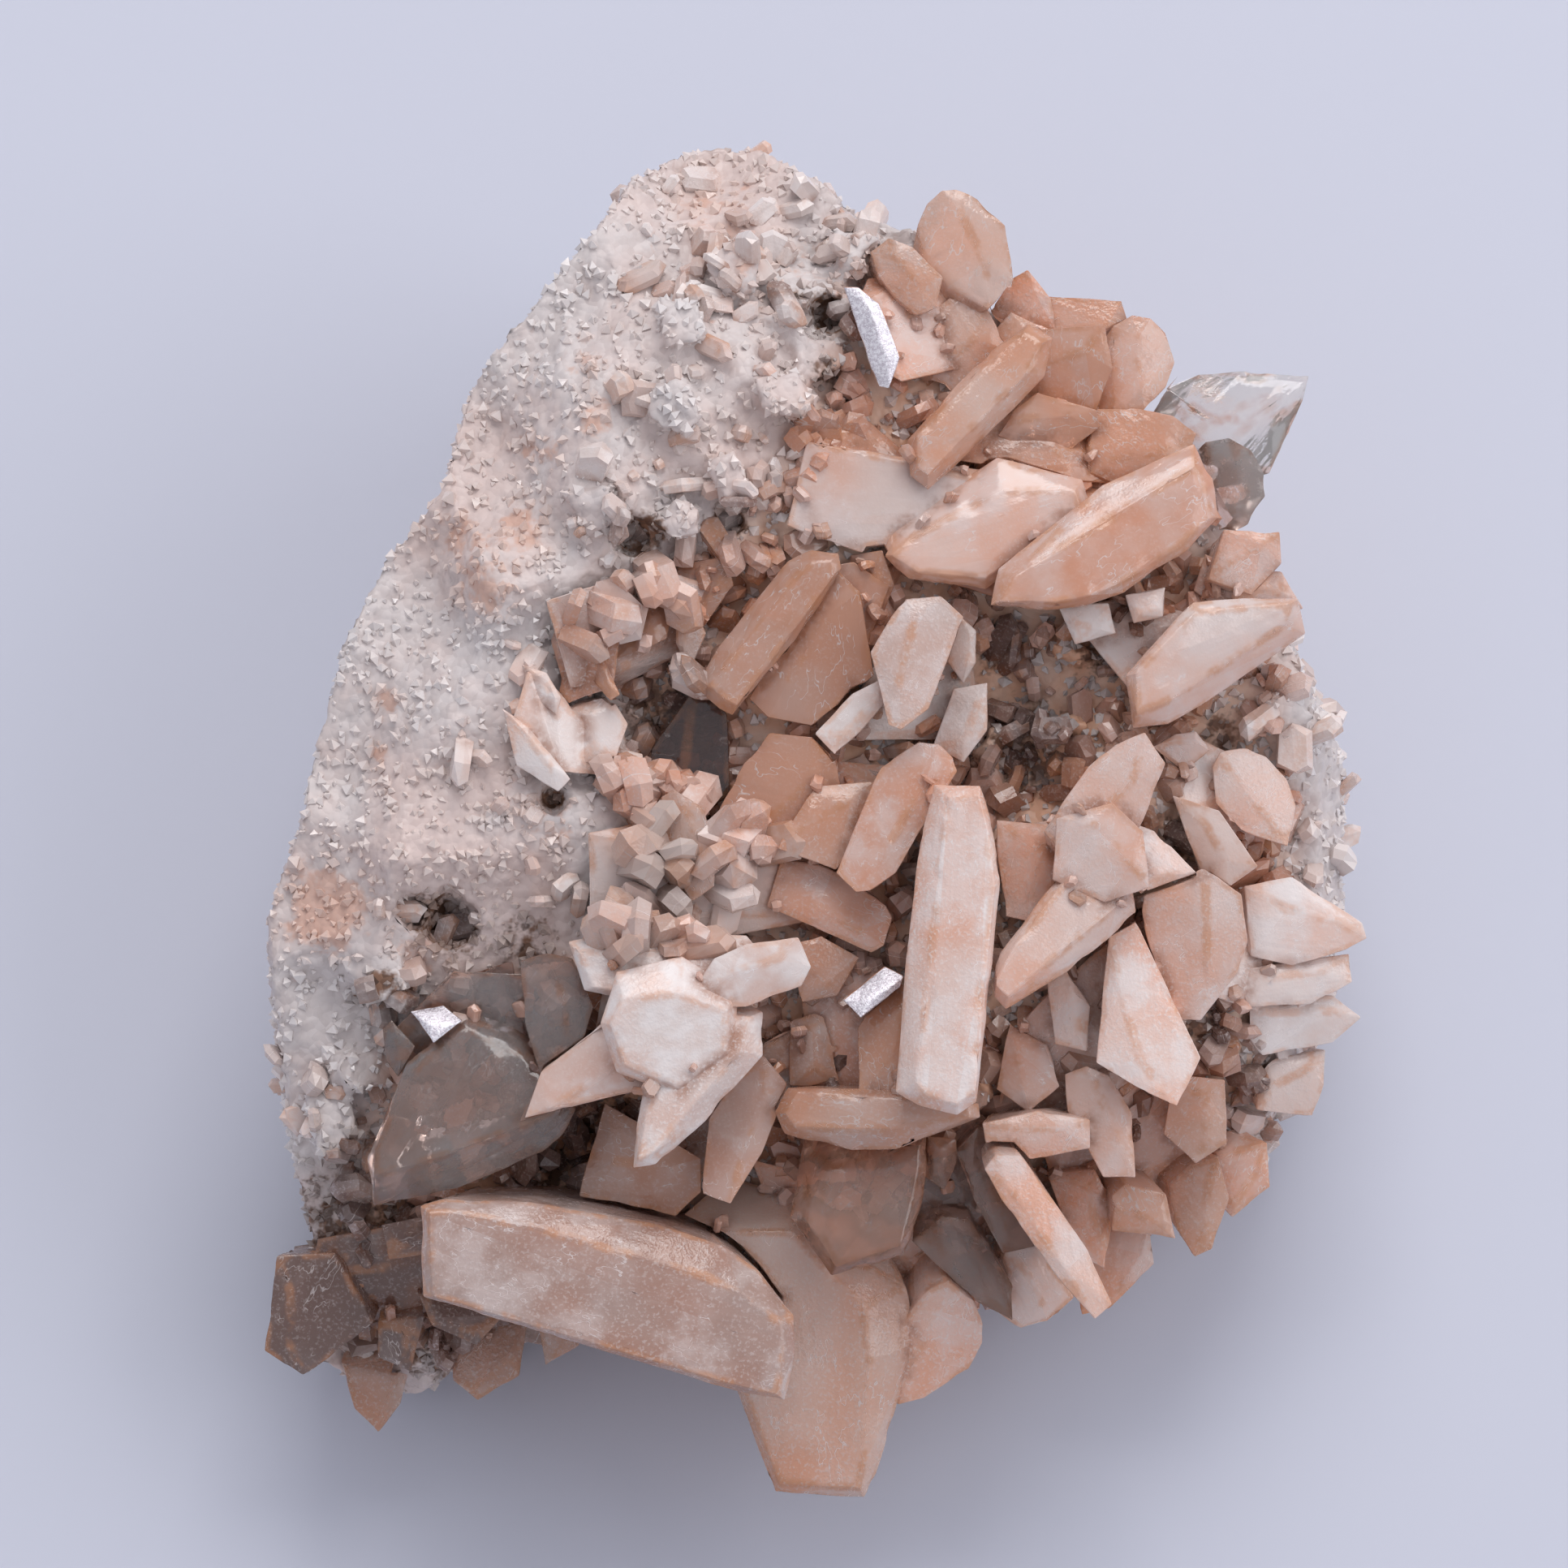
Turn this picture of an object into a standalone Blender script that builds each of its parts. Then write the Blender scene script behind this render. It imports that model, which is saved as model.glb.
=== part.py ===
"""A hand specimen of celestite: peach tabular blades on a sugary white matrix.

The specimen lies on a flat cut. Its crystals are laid out on a face plane that leans back from
level by FACE_LEAN. On that plane x runs right, y runs up the face and depth runs out of it, all in
millimetres. Each blade is the outline that its front face has on the plane, closed by a narrower
root that reaches the bed it grew from. Blades that interpenetrate are fused into one spray, and
where one spray only abuts the next, a hairline of CONTACT_GAP parts the two solids.
"""

import math
import random
from collections import namedtuple

import bmesh
import bpy
from mathutils import Matrix, Vector, noise

MM = 0.001
CONTACT_GAP = 0.3
# Grown by the gap along its normals, a surface stands off less than that over a sharp edge. The rock is
# swollen by SWELLING times the gap, and the arms of a blade's outline by CORNER_SLACK times it.
SWELLING = 1.5
CORNER_SLACK = 1.25
# The solids here are hulls and closed meshes, with many faces that nearly coincide where blades fan out
# of one root. Exact cuts turned some of those inside out, so every joint and cut is a manifold one.
SOLVER = "MANIFOLD"
FACE_LEAN = math.radians(20)
FACE_ORIGIN = Vector((-0.25, -3.25, 30.0))
FACE_TO_WORLD = Matrix.Translation(FACE_ORIGIN) @ Matrix.Rotation(FACE_LEAN, 4, "X")

# How deep a blade's root and a spray's common root mass stand in the bed, and how far the mass rises.
ROOT_DEPTH = 2.0
MASS_RISE = 1.6
MASS_DEPTH = 3.0
LEAST_BODY = 2.5
# A blade whose corners lie further than FACETED_SIZE from its middle has a bevelled rim. A smaller one
# rises to a ridge instead. On either, one long side, the flank, slopes down further than the rest.
EDGE_FACET = 0.7
MOST_INSET = 0.3
FLANK_SHARE = 0.38
FLANK_SLOPE = 0.5
FACETED_SIZE = 4.2
RIDGE_DROP = 0.25
RIDGE_SHARE = 0.45
RIDGE_SHIFT = 0.25
# Blades tip this much, each its own way, on top of the lean that they are given.
LEAN_SCATTER = 0.09
# Rounded blades, with more corners than this, are rooted on every second one.
PLAIN_CORNERS = 5

# The matrix: silhouette of the rock on the face plane, anticlockwise from the right.
ROCK_OUTLINE = [
    (31.5, 0), (31.5, 6), (29.5, 12), (26.5, 17), (23.5, 21.5), (19, 26), (14, 30), (9, 33),
    (6.5, 36.5), (3, 37.8), (-1, 39.4), (-4, 42), (-6.5, 42.6), (-9.2, 42), (-11, 39.2),
    (-13.3, 37.7), (-16.2, 33.5), (-19.8, 28.4), (-23, 22), (-26.8, 15.8), (-29, 10.2),
    (-31.5, 3.6), (-32.5, -1.5), (-33.5, -5), (-34, -11), (-32, -17.5), (-33, -22), (-32, -27),
    (-34, -32.5), (-31, -35), (-26, -35.5), (-21, -34), (-15, -31), (-8, -30.5), (0, -31),
    (6, -31), (13, -29.5), (19, -27.5), (25, -23.5), (29, -18.5), (31.5, -12), (31.8, -6),
]
# Height of the rock over the face plane, sampled where it rises into the rind or sinks into the bed.
ROCK_HEIGHTS = [
    (-6, 41, -15), (-9, 35, -9), (-2, 36, -11), (3, 36, -13), (-14, 33, -8), (-10, 28, -3.5),
    (-4, 29, -4), (-1, 31, -6), (-20, 24, -7), (-14, 22, -2), (-7, 21.5, -2.5), (-4.5, 20, -4),
    (-25, 15, -6), (-18, 14, -1), (-13, 17.5, -2), (-29, 6, -5), (-22, 6, -0.5), (-17, 9, -2),
    (-31, -4, -4), (-24, -3, 0), (-17, -1, -0.5), (-13, -5, -2), (-32, -14, -5), (-27, -9, -2),
    (-22, -7, -2.5), (-26, -12, -4.5), (-30, -21, -6), (-32, -30, -9), (-29, -34, -14),
    (-10, 10, -6), (-10, 6, -7), (-12, -14, -4), (-20, -17, -5), (-22, -27, -9), (-28, -26, -9),
    (0, 0, -5), (0, 13, -5.5), (-4, 15, -6), (3, 27, -8), (9, 31, -12), (15, 20, -7.5),
    (20, 26, -13), (25, 15, -10), (12, 5, -9), (20, 0, -5.5), (28, 5, -8), (31, -2, -10),
    (25, -12, -6), (30, -12, -9), (27, -20, -11), (15, -12, -5), (5, -15, -4), (0, -25, -6),
    (12, -26, -9), (20, -26, -12), (-8, -29, -9), (0, -30, -11), (-18, -32, -12), (-15, -21, -9),
]
HEIGHT_SHARPNESS = 3.2
SAMPLE_RADIUS = 0.5
RIM_DROP = 1.0
WALL_BULGE = 0.05
# The base is smaller than the silhouette, most of all at the front left.
BASE_TAPER_BACK = 0.9
BASE_TAPER_FRONT = 0.72
TAPER_TURN = math.radians(120)
ROCK_SECTORS = 72
ROCK_THINNING = 0.24
TOP_RINGS = (0.2, 0.36, 0.48, 0.58, 0.66, 0.73, 0.79, 0.85, 0.9, 0.94, 0.975, 1.0)
WALL_RINGS = 7
BASE_RINGS = (0.6,)
# Stock left under the resting plane, which the flat cut takes off.
BASE_STOCK = 2.0
LUMP_SIZE = 5.0
LUMP_HEIGHT = 1.2
SMALL_LUMPS = (2.3, 0.5)
WALL_LUMPS = (0.45, 2.2)
LUMP_SEED = 3
PIT_SIDES = 7
PIT_MOUTH = (1.3, 1.5)
PIT_FLOOR = 0.55
PIT_RAGGEDNESS = 0.2
# The open bed, where small crystals stand between the sprays.
BED_OUTLINE = [
    (31, -1), (29, 12), (24, 20), (18, 26), (11, 31), (4, 33), (-1, 30), (-3, 22), (-11, 15), (-14, 8),
    (-12, 2), (-13, -8), (-22, -9), (-28, -14), (-30, -24), (-31, -31), (-22, -32.5), (-8, -30.5),
    (6, -31), (13, -29.5), (19, -27.5), (25, -23.5), (29, -18.5), (31, -12),
]
DRUSE_FIELD = 70
DRUSE_SPACING = 5.6
DRUSE_SCATTER = 0.3
DRUSE_LIFT = 0.6
DRUSE_SEED = 7

Blade = namedtuple("Blade", "outline depth lean root drift reach")


def blade(depth, *outline, lean=(0, 0), root=0.7, drift=(0, 0), reach=None):
    """A crystal by the outline of its front face, its depth and how it leans."""
    return Blade(outline, depth, lean, root, drift, reach)


# Sprays of blades, nearest the eye first: an earlier spray keeps its shape where two abut.
SPRAYS = {
    "central_prism": [
        blade(4.5, (7.5, 1.7), (10.4, 1.7), (11, -0.4), (11.6, -4), (11, -10), (10.1, -17.8), (8.9, -18.6),
              (6.4, -18), (5.1, -17.2), (5.8, -9), (6.6, -2), lean=(0.1, -0.16), root=0.6),
    ],
    "bottom_slab": [
        blade(2.5, (-24.1, -24.2), (-22.6, -23.8), (-17.5, -24), (-9.5, -25.4), (-5.5, -26.7), (-3.2, -28.3),
              (-1.1, -31), (-1, -33.4), (-1.6, -36.3), (-4.8, -35.6), (-15, -32.3), (-23.9, -29.8),
              lean=(0.02, -0.12), root=0.7, drift=(0, 2.5)),
    ],
    "white_burst": [
        blade(2.5, (-15, -8), (-12.5, -7.4), (-4, -7.6), (-2.8, -9), (-4, -11.5), (-9, -12), (-14, -11),
              lean=(0.05, -0.2), root=0.6),
        blade(4, (-6, -9), (-4, -8.1), (-0.8, -7.7), (0, -9.5), (-0.6, -10.7), (-4, -12), (-8, -12),
              lean=(0.15, -0.1), root=0.5, drift=(-2, 0)),
        blade(4, (-8.5, -11.5), (-3, -12.3), (-3, -15), (-5, -16.6), (-6.5, -19), (-9.5, -21.7), (-11, -21.9),
              (-10.8, -19.5), (-10, -15), lean=(0, -0.14), root=0.5, drift=(1, 4)),
        blade(2.2, (-17.7, -18.9), (-16.9, -17.6), (-16.7, -16), (-14.3, -14.6), (-10, -11), (-7, -13),
              (-10, -17), (-14, -17.6), (-16.8, -18.6), lean=(0.1, 0.05), root=0.5, drift=(2, 2)),
        blade(4.4, (-12, -9.8), (-8, -8.8), (-4.5, -11), (-4.6, -15), (-8, -17.6), (-12, -16), (-13, -13),
              lean=(0, -0.05), root=0.6),
    ],
    "starfish": [
        blade(1.8, (14.2, -1.2), (15.2, 0.2), (17, 2.8), (18.6, 4.2), (20.5, 4.9), (21.8, 3), (20.6, 0),
              (19.6, -2.6), (16, -3.4), lean=(-0.05, 0.12), root=0.55, drift=(-1, -3)),
        blade(3, (14, -5.4), (15.7, -3.6), (19.5, -3), (20, -6.2), (18.2, -7.9), (15.8, -9.8), (13, -11),
              (11.9, -12.2), (10.6, -11), (11.6, -8.6), lean=(-0.08, -0.1), root=0.5, drift=(2, 3)),
        blade(2.6, (15, -0.4), (18.5, 0.6), (20.4, -1.2), (20.8, -4.7), (18, -5.6), (14.8, -4.2), root=0.7),
        blade(0, (19.6, -0.6), (21.2, -1.2), (23.8, -3.8), (20.7, -4.9), (19, -3.2), lean=(-0.2, 0), root=0.6,
              drift=(-2, 0)),
        blade(-1.8, (11.4, -0.5), (14.8, -0.8), (15.6, -3.6), (13.4, -6.8), (12, -6.5), (11.5, -3), root=0.8),
    ],
    "smoky_plate": [
        blade(-3.2, (-7.3, 7.6), (-6, 7.1), (-5.2, 6), (-5, 1.2), (-6, 0.2), (-7.6, 1), (-10.2, 2), (-9.9, 3.9),
              lean=(0.18, 0.1), root=0.8, reach=3.4),
    ],
    "clear_wedge": [
        blade(0.5, (-25, -15.5), (-23.5, -14.4), (-21.4, -12.6), (-17.8, -14.2), (-16.9, -16.4), (-17.6, -18.9),
              (-14.5, -18.3), (-15.3, -19.9), (-16.6, -21.1), (-22, -23.3), (-27, -24.3), (-27.4, -21.3),
              (-26.2, -18.6), lean=(0.02, -0.16), root=0.72, drift=(2, 3)),
        blade(-0.6, (-24.8, -12.3), (-22.7, -11.9), (-21.5, -12.9), (-23.3, -14.3), lean=(0.1, -0.45), root=0.7),
        blade(-2.5, (-22.6, -9.4), (-18.6, -8.4), (-17.7, -13.6), (-19, -14.5), (-22.6, -11.6),
              lean=(0.2, -0.1), root=0.8),
        blade(0.6, (-18, -9.2), (-16.4, -8.7), (-14.7, -9), (-13.4, -12), (-14.2, -14.6), (-15.2, -15.7),
              (-16.8, -16.2), (-17.7, -13), lean=(0.12, -0.05), root=0.65),
        blade(-0.8, (-26.5, -13.4), (-25.9, -12.8), (-24.4, -14.5), (-25.5, -16.4), (-26.3, -15.3),
              lean=(0.1, 0.1), root=0.6),
    ],
    "frosted_prism": [
        blade(0.4, (5.8, 13.2), (8, 13.3), (9.4, 12), (8.4, 9.5), (7.2, 6.3), (5.5, 5), (4.7, 5.3), (3.6, 9.8),
              (4.9, 12), lean=(0.12, -0.25), root=0.6, drift=(0, 1)),
        blade(-1.8, (2.5, 7.3), (4.6, 8.4), (4.8, 7), (3, 4.9), (1.4, 3.4), (0.2, 4.8), lean=(0.05, -0.2),
              root=0.6),
        blade(-3.6, (8.8, 7.6), (10.9, 8), (10.9, 5), (9.4, 3), (7.5, 4), lean=(0.1, -0.1), root=0.7),
        blade(-4, (9.3, 12), (10.2, 11.2), (10.2, 9.2), (9.4, 7.9), (8.4, 9.3), root=0.7),
    ],
    "long_blade": [
        blade(-1.4, (-1.5, 15.5), (0, 16.2), (1.7, 16), (1.9, 15), (0.6, 12.9), (-0.8, 10.8), (-3.9, 7.4),
              (-4.9, 5.9), (-5.7, 6.3), (-7.2, 7.6), (-5.9, 10), (-2.8, 13.9), lean=(0.05, -0.1), root=0.6,
              drift=(1, 1)),
        blade(-2.4, (0.4, 14), (1.7, 14.9), (3, 13.6), (3, 11.4), (3.9, 8.4), (3, 7.7), (0, 5.3), (-2.7, 5.8),
              (-3.9, 7), (-2.4, 9.4), lean=(0.05, -0.12), root=0.7),
        blade(-4.4, (2.4, 15.9), (4.4, 16.2), (5.2, 14), (3.6, 10.2), (2.6, 11.5), lean=(0.1, 0), root=0.8),
    ],
    "centre_fan": [
        blade(0.2, (4.2, 2.8), (5.5, 3.5), (6.6, 4.3), (7.8, 4.2), (8.8, 3.4), (9, 2.5), (8.2, 1.6), (6.4, 0),
              (5.2, -3.8), (3.6, -4.9), (2.7, -5), (1.5, -3.8), (3.2, -0.8), (3.9, 1.4), lean=(0, -0.1),
              root=0.6),
        blade(-0.8, (-2.1, -2.3), (-1.5, -0.8), (0.3, 1.6), (3.8, 1.9), (4, 0.3), (3.2, -1.8), (1.5, -3.6),
              lean=(-0.05, -0.2), root=0.7),
        blade(-1.8, (-4.2, 3), (-2.6, 4.9), (0, 4.6), (1.7, 3.3), (1.8, 1.6), (0, 0), (-2, -2.4), (-4.4, -2.8),
              (-5.6, -1.8), (-5.8, 0), lean=(0.04, -0.12), root=0.65),
    ],
    "left_centre_group": [
        blade(0, (-9.3, 0.9), (-8.5, 1.4), (-6.6, 0.2), (-5.9, -2.6), (-6, -4.6), (-7.4, -5.6), (-8.6, -3.6),
              lean=(0.2, -0.15), root=0.6),
        blade(-1.5, (-14.8, -0.6), (-12.4, 0.9), (-9.4, -0.4), (-8.4, -3), (-8.6, -5.6), (-11, -7.1),
              (-14.4, -5.4), lean=(0.1, -0.1), root=0.7),
        blade(-2.2, (-7.9, -6.5), (-6, -4.9), (-5.8, -2.6), (-2, -2.6), (-1.9, -5.8), (-4.6, -6.6),
              lean=(0, -0.15), root=0.75),
        blade(-1.6, (-1.9, -2.9), (1.4, -3.5), (2.7, -4.8), (4.6, -5.8), (5, -6.6), (4.5, -8.3), (3.7, -8.8),
              (2.3, -8.2), (0, -6.8), (-2.8, -5.9), lean=(0.05, -0.1), root=0.6, drift=(0, 1.5)),
        blade(-1.2, (-14.3, -8.2), (-13.2, -5.4), (-11, -6), (-9.6, -8.4), (-12, -9.6), root=0.7),
    ],
    "horizontal_bar": [
        blade(1.8, (-2.3, -18.5), (-1.5, -17), (4.5, -17.1), (6.5, -17.9), (10.3, -17.9), (10.4, -18.8),
              (7.5, -19.9), (5.2, -20.8), (2.5, -20.9), (-1.7, -19.9), lean=(0.05, -0.1), root=0.6,
              drift=(0, 1)),
        blade(0.5, (2.8, -13.3), (3.3, -12.6), (5.6, -10.6), (6.8, -11.5), (6.6, -17.2), (2.9, -17.4),
              lean=(0, -0.1), root=0.7),
        blade(1.2, (1.9, -11.6), (4.5, -9.5), (5.7, -10.1), (5.5, -10.8), (3, -12.7), lean=(0.05, -0.4),
              root=0.6),
        blade(-1.5, (-1.8, -8.4), (0.6, -7.6), (3, -9), (1.6, -11.4), (-0.6, -11.8), lean=(0, 0.1), root=0.7),
    ],
    "glassy_hexagon": [
        blade(0, (-0.5, -20.2), (2.5, -20.8), (5.2, -20.7), (7.1, -20), (7.2, -21.6), (6.9, -23.8), (5.8, -27.4),
              (1.2, -28.6), (0.2, -26.8), (-1.4, -25), lean=(0, -0.12), root=0.65, drift=(0, 2)),
        blade(-1.8, (7.1, -20), (9, -20.2), (9, -21.8), (8.2, -23.4), (7, -22.6), root=0.7),
        blade(-3.4, (8.9, -21), (10.2, -19.6), (11.6, -19.5), (13.1, -20.8), (16, -26.5), (11.8, -27.4),
              (10, -24), lean=(-0.1, -0.1), root=0.6, drift=(-1, 2)),
        blade(-4.4, (6.2, -26.6), (8, -25.1), (9.8, -25.2), (12.5, -29.4), (12.5, -31.6), (10.2, -30.4),
              (7.6, -28), lean=(-0.05, 0.05), root=0.6, drift=(-1, 4)),
    ],
    "white_finger": [
        blade(2.2, (10.6, -22), (11.3, -21.1), (12.9, -21.2), (14.1, -22.8), (17, -27), (18.5, -30.3),
              (17.4, -31.2), (15.4, -29), (13.6, -26.4), (11.6, -23.8), lean=(-0.08, -0.02), root=0.55,
              drift=(-2, 4)),
        blade(-6.5, (11.4, -28.6), (12, -27.2), (14, -26.9), (16.4, -30.2), (14.7, -31.8), (13, -32.2),
              (11.6, -31.2), root=0.6, drift=(-1, 4)),
    ],
    "hexagonal_group": [
        blade(-0.4, (20.5, -5.1), (24.2, -3.4), (26.5, -5.1), (26.9, -8), (26.3, -10), (24, -12.9), (22.2, -12.9),
              (21.2, -9), (20.3, -6.5), lean=(-0.04, -0.02), root=0.65),
        blade(0.4, (18.3, -7.7), (20, -6.7), (21, -9), (22.2, -13), (24, -15.2), (22.5, -18.2), (20.2, -17.1),
              (17.5, -15.5), (18.6, -13), (18.1, -9.4), lean=(0.02, -0.12), root=0.55, drift=(-0.5, 2)),
        blade(-1.6, (14.5, -10.4), (15.8, -9.8), (17.2, -12), (17, -14.8), (15, -14.4), root=0.7),
        blade(-2.8, (12.2, -13), (14.6, -14.4), (15.4, -17), (13.4, -18.6), (11.4, -17.2), lean=(0.1, 0),
              root=0.8),
        blade(-2, (15.6, -16.2), (17, -15.7), (18.4, -16.3), (19.8, -18.6), (20, -22.6), (18, -22.6),
              (15.8, -18.5), lean=(0, -0.1), root=0.7),
        blade(-0.6, (10.5, -19.2), (14, -18.4), (17.2, -19), (17.2, -20.8), (13.5, -21.5), (10.7, -20.4),
              lean=(0, -0.15), root=0.7, drift=(0, 1)),
    ],
    "right_blades": [
        blade(-2.2, (22.3, 1), (25.2, 0.1), (27.6, -3.4), (25.5, -4.9), (24.3, -4.8), (23.2, -1.5),
              lean=(0.1, 0.1), root=0.65),
        blade(-4, (21, 4), (22.5, 4.8), (23.8, 5), (24.7, 3.8), (23, 2.4), root=0.7),
        blade(-4.4, (24.8, 2.8), (25.3, 3.7), (27, 4), (28.2, 3.4), (29.5, 2), (30.1, 0.4), (29.5, -2.2),
              (26.5, -1.2), (25, 0.5), lean=(-0.1, 0), root=0.65),
    ],
    "milky_parallelogram": [
        blade(-0.8, (19.3, 8.4), (21.8, 9.8), (22.4, 11.5), (23.5, 13), (27, 13.2), (30.1, 13.2), (30.6, 11),
              (28, 9.3), (24, 6.5), (22, 5.4), (19.8, 5.1), lean=(-0.22, 0), root=0.65, drift=(-1, 0)),
        blade(-4, (15.2, 12.8), (18.4, 12.9), (18.9, 11), (16.3, 10.3), root=0.8),
        blade(-3.6, (19.4, 13.4), (21.9, 13.9), (21.8, 12), (19.9, 11.6), root=0.8),
    ],
    "upper_right_blocks": [
        blade(-6.5, (25.6, 17.5), (29.1, 17.4), (29.2, 15.4), (27.3, 13.4), (24.6, 14.4), root=0.75,
              drift=(-1.5, -1)),
        blade(-7, (26.6, 15), (29.2, 14.9), (30.6, 12.6), (28, 11.4), (26, 12.6), root=0.75, drift=(-1.5, 0)),
    ],
    "striated_blade": [
        blade(-2, (11, 12.7), (11.5, 15), (14.5, 16.8), (16, 18.5), (18, 20.2), (21.5, 20.8), (23.7, 22.8),
              (24.9, 20.6), (25.3, 18.2), (23.1, 16), (21, 15.3), (19.3, 13.5), (17, 12.7), (14.6, 12.4),
              lean=(-0.16, -0.08), root=0.65, drift=(-2, -1)),
        blade(-3.6, (4.3, 15.8), (5, 17.5), (8.5, 20), (11.5, 22), (16.8, 20.6), (17.3, 19), (14.5, 16.8),
              (11.5, 15), (10.8, 13.7), (6, 14.4), lean=(-0.08, -0.06), root=0.7),
        blade(-5, (-2.6, 17), (-3, 21), (-1, 24), (3.5, 24.3), (6.2, 22), (5.8, 19.6), (4, 17.4), (2.4, 16.4),
              (0.4, 15.8), lean=(0.02, -0.12), root=0.75),
    ],
    "orange_fan": [
        blade(-4.6, (6.1, 20.8), (5.9, 23), (9, 26.5), (11, 28.5), (13.5, 30.3), (15, 29.4), (14.5, 27),
              (12, 24.5), (9.6, 22), (7.2, 19.9), lean=(-0.1, -0.16), root=0.65, drift=(-1, -2)),
        blade(-8, (12.5, 27), (14, 30), (18.3, 30.3), (18.8, 27.5), (17.7, 24.8), (14, 25.4), lean=(0, -0.1),
              root=0.7, drift=(-2, -3)),
        blade(-6.2, (11.5, 23.3), (12.5, 24.9), (14, 26), (17.7, 24.9), (17.9, 23.8), (16, 22.4), (12.7, 22.8),
              lean=(-0.05, -0.1), root=0.7),
        blade(-7, (17.2, 22.6), (17.7, 25), (20, 25.1), (22.5, 24.6), (24, 23.5), (23.5, 22.2), (21.5, 20.7),
              (19, 20.2), (17.3, 21), lean=(-0.1, -0.05), root=0.7, drift=(-2, -1)),
        blade(-10.5, (18.8, 30.3), (20, 31), (21.2, 30.8), (22.2, 29.9), (22.7, 28), (22.2, 26.5), (20.8, 25),
              (18.8, 24.9), lean=(-0.1, -0.1), root=0.6, drift=(-4, -4)),
    ],
    "right_wedge": [
        blade(-10.5, (22.2, 26.4), (24.2, 27.3), (27, 27.5), (31.1, 27.2), (30.7, 25.6), (28.6, 21), (26.5, 21.8),
              (24, 23.2), lean=(-0.12, -0.06), root=0.62, drift=(-5, -4)),
        blade(-8.6, (24.5, 23), (26, 23.3), (27.4, 22.5), (28.2, 21), (28.3, 19.6), (27.2, 17.8), (26.4, 17.4),
              (25.4, 18.5), (24.9, 20.5), lean=(-0.1, 0), root=0.6, drift=(-3, -1)),
    ],
    "top_spray": [
        blade(-9, (6.6, 36.5), (7.2, 37.9), (8.1, 38.7), (9, 38.8), (10.4, 38.2), (12.1, 36.5), (12.7, 33),
              (11, 31.2), (8.5, 32.6), (6.9, 34.6), lean=(-0.05, -0.15), root=0.6, drift=(-2, -4)),
        blade(-7.4, (3.6, 34.8), (4.8, 35.7), (6.3, 35.1), (8.2, 33.2), (7.9, 31.2), (6.5, 30.8), (5.1, 32),
              (4.1, 33.3), lean=(0.12, -0.15), root=0.6, drift=(-1, -1)),
        blade(-4, (2, 32.5), (2.9, 32.5), (4.2, 31.5), (5, 29.6), (5.5, 28.1), (4.8, 26.1), (4.1, 26.2),
              (3, 29.6), lean=(0.1, -0.3), root=0.6),
        blade(-8.6, (8.6, 32), (11, 31.2), (12.4, 28.6), (9, 26), (5.6, 27), (6.6, 30.4), lean=(0.05, -0.1),
              root=0.7, drift=(-1, -1)),
    ],
    "upper_edge_blades": [
        blade(-11, (13.4, 29.6), (14.6, 32.2), (16, 30.9), (18.3, 30.4), (18.8, 31.5), (19.4, 31.9), (20, 30),
              (17, 27.6), root=0.7, drift=(-2, -2)),
        blade(-10.6, (11.2, 31.3), (12.6, 33.4), (13.5, 33.8), (15, 32), (15.4, 29.6), (12, 28.6), root=0.7,
              drift=(-1, -2)),
    ],
    "brown_blades": [
        blade(-3.6, (-9.2, 15.2), (-5.2, 15.8), (-4.8, 14), (-6.3, 11.9), (-7.6, 10.9), (-8.6, 12.8),
              lean=(0.05, 0.1), root=0.75),
        blade(-2.2, (-8.4, 13.4), (-7.2, 12.5), (-6.5, 11), (-7.3, 9.2), (-7.9, 9.2), (-8.5, 10.4), root=0.6),
        blade(-2.4, (-12, 15.2), (-9.6, 14.6), (-8.4, 12.8), (-8.8, 10.6), (-12, 9.4), (-13.4, 12.4),
              lean=(-0.1, -0.25), root=0.75),
        blade(-1.6, (-17, 13.8), (-13.6, 14.2), (-11.8, 11), (-12.2, 7.6), (-15, 6.6), (-17.6, 10),
              lean=(0.1, -0.2), root=0.75),
        blade(-0.8, (-13.6, 9.6), (-12.8, 9.4), (-11.8, 7.2), (-12.4, 6.8), (-13.4, 8), lean=(0.3, -0.2),
              root=0.6),
    ],
    "white_rind_blades": [
        blade(0.4, (-19.1, 6.4), (-17.4, 5.2), (-14.8, 2), (-15.6, 1.2), (-18.2, 2.8), lean=(0.1, -0.15),
              root=0.7),
        blade(-0.2, (-17.9, 9.1), (-16.3, 8.6), (-15.4, 7), (-15.7, 5.9), (-17.5, 7.4), lean=(0.1, 0),
              root=0.7),
        blade(-1.4, (-15.6, 6.8), (-12.4, 7.2), (-11.3, 5.4), (-12, 3.4), (-14.6, 2.8), lean=(0.1, -0.1),
              root=0.75),
        blade(-2.2, (-12.2, 4), (-10.4, 3.6), (-10, 1.6), (-12.4, 0.8), (-14, 2.2), root=0.7),
    ],
    "grey_plates": [
        blade(-0.4, (-3, -15), (-1.5, -16.8), (-2.2, -19), (-3, -21), (-5, -24.2), (-6.8, -23.6), (-6.4, -19),
              (-4.8, -16.6), lean=(0.1, -0.1), root=0.6, drift=(0, 2)),
        blade(-2.4, (-12.8, -18), (-9.5, -21.7), (-6.8, -21.4), (-6.8, -23.5), (-8.4, -25), (-14.6, -25),
              (-14.2, -22.8), lean=(0.1, -0.05), root=0.75),
        blade(-2.6, (-1.4, -13), (1.2, -12), (2.6, -14.4), (2.2, -17), (-1.4, -17), lean=(0, 0.1), root=0.8),
    ],
    "frayed_blade": [
        blade(-3.4, (-8.5, -25.4), (-1, -25.2), (2, -28), (6, -29.4), (6.4, -33), (5.3, -36.9), (4.6, -38.5),
              (4, -41.2), (3.3, -42.5), (2, -42), (0.1, -41.2), (-2.3, -42.2), (-3.6, -38.6), (-4.8, -35.4),
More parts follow.
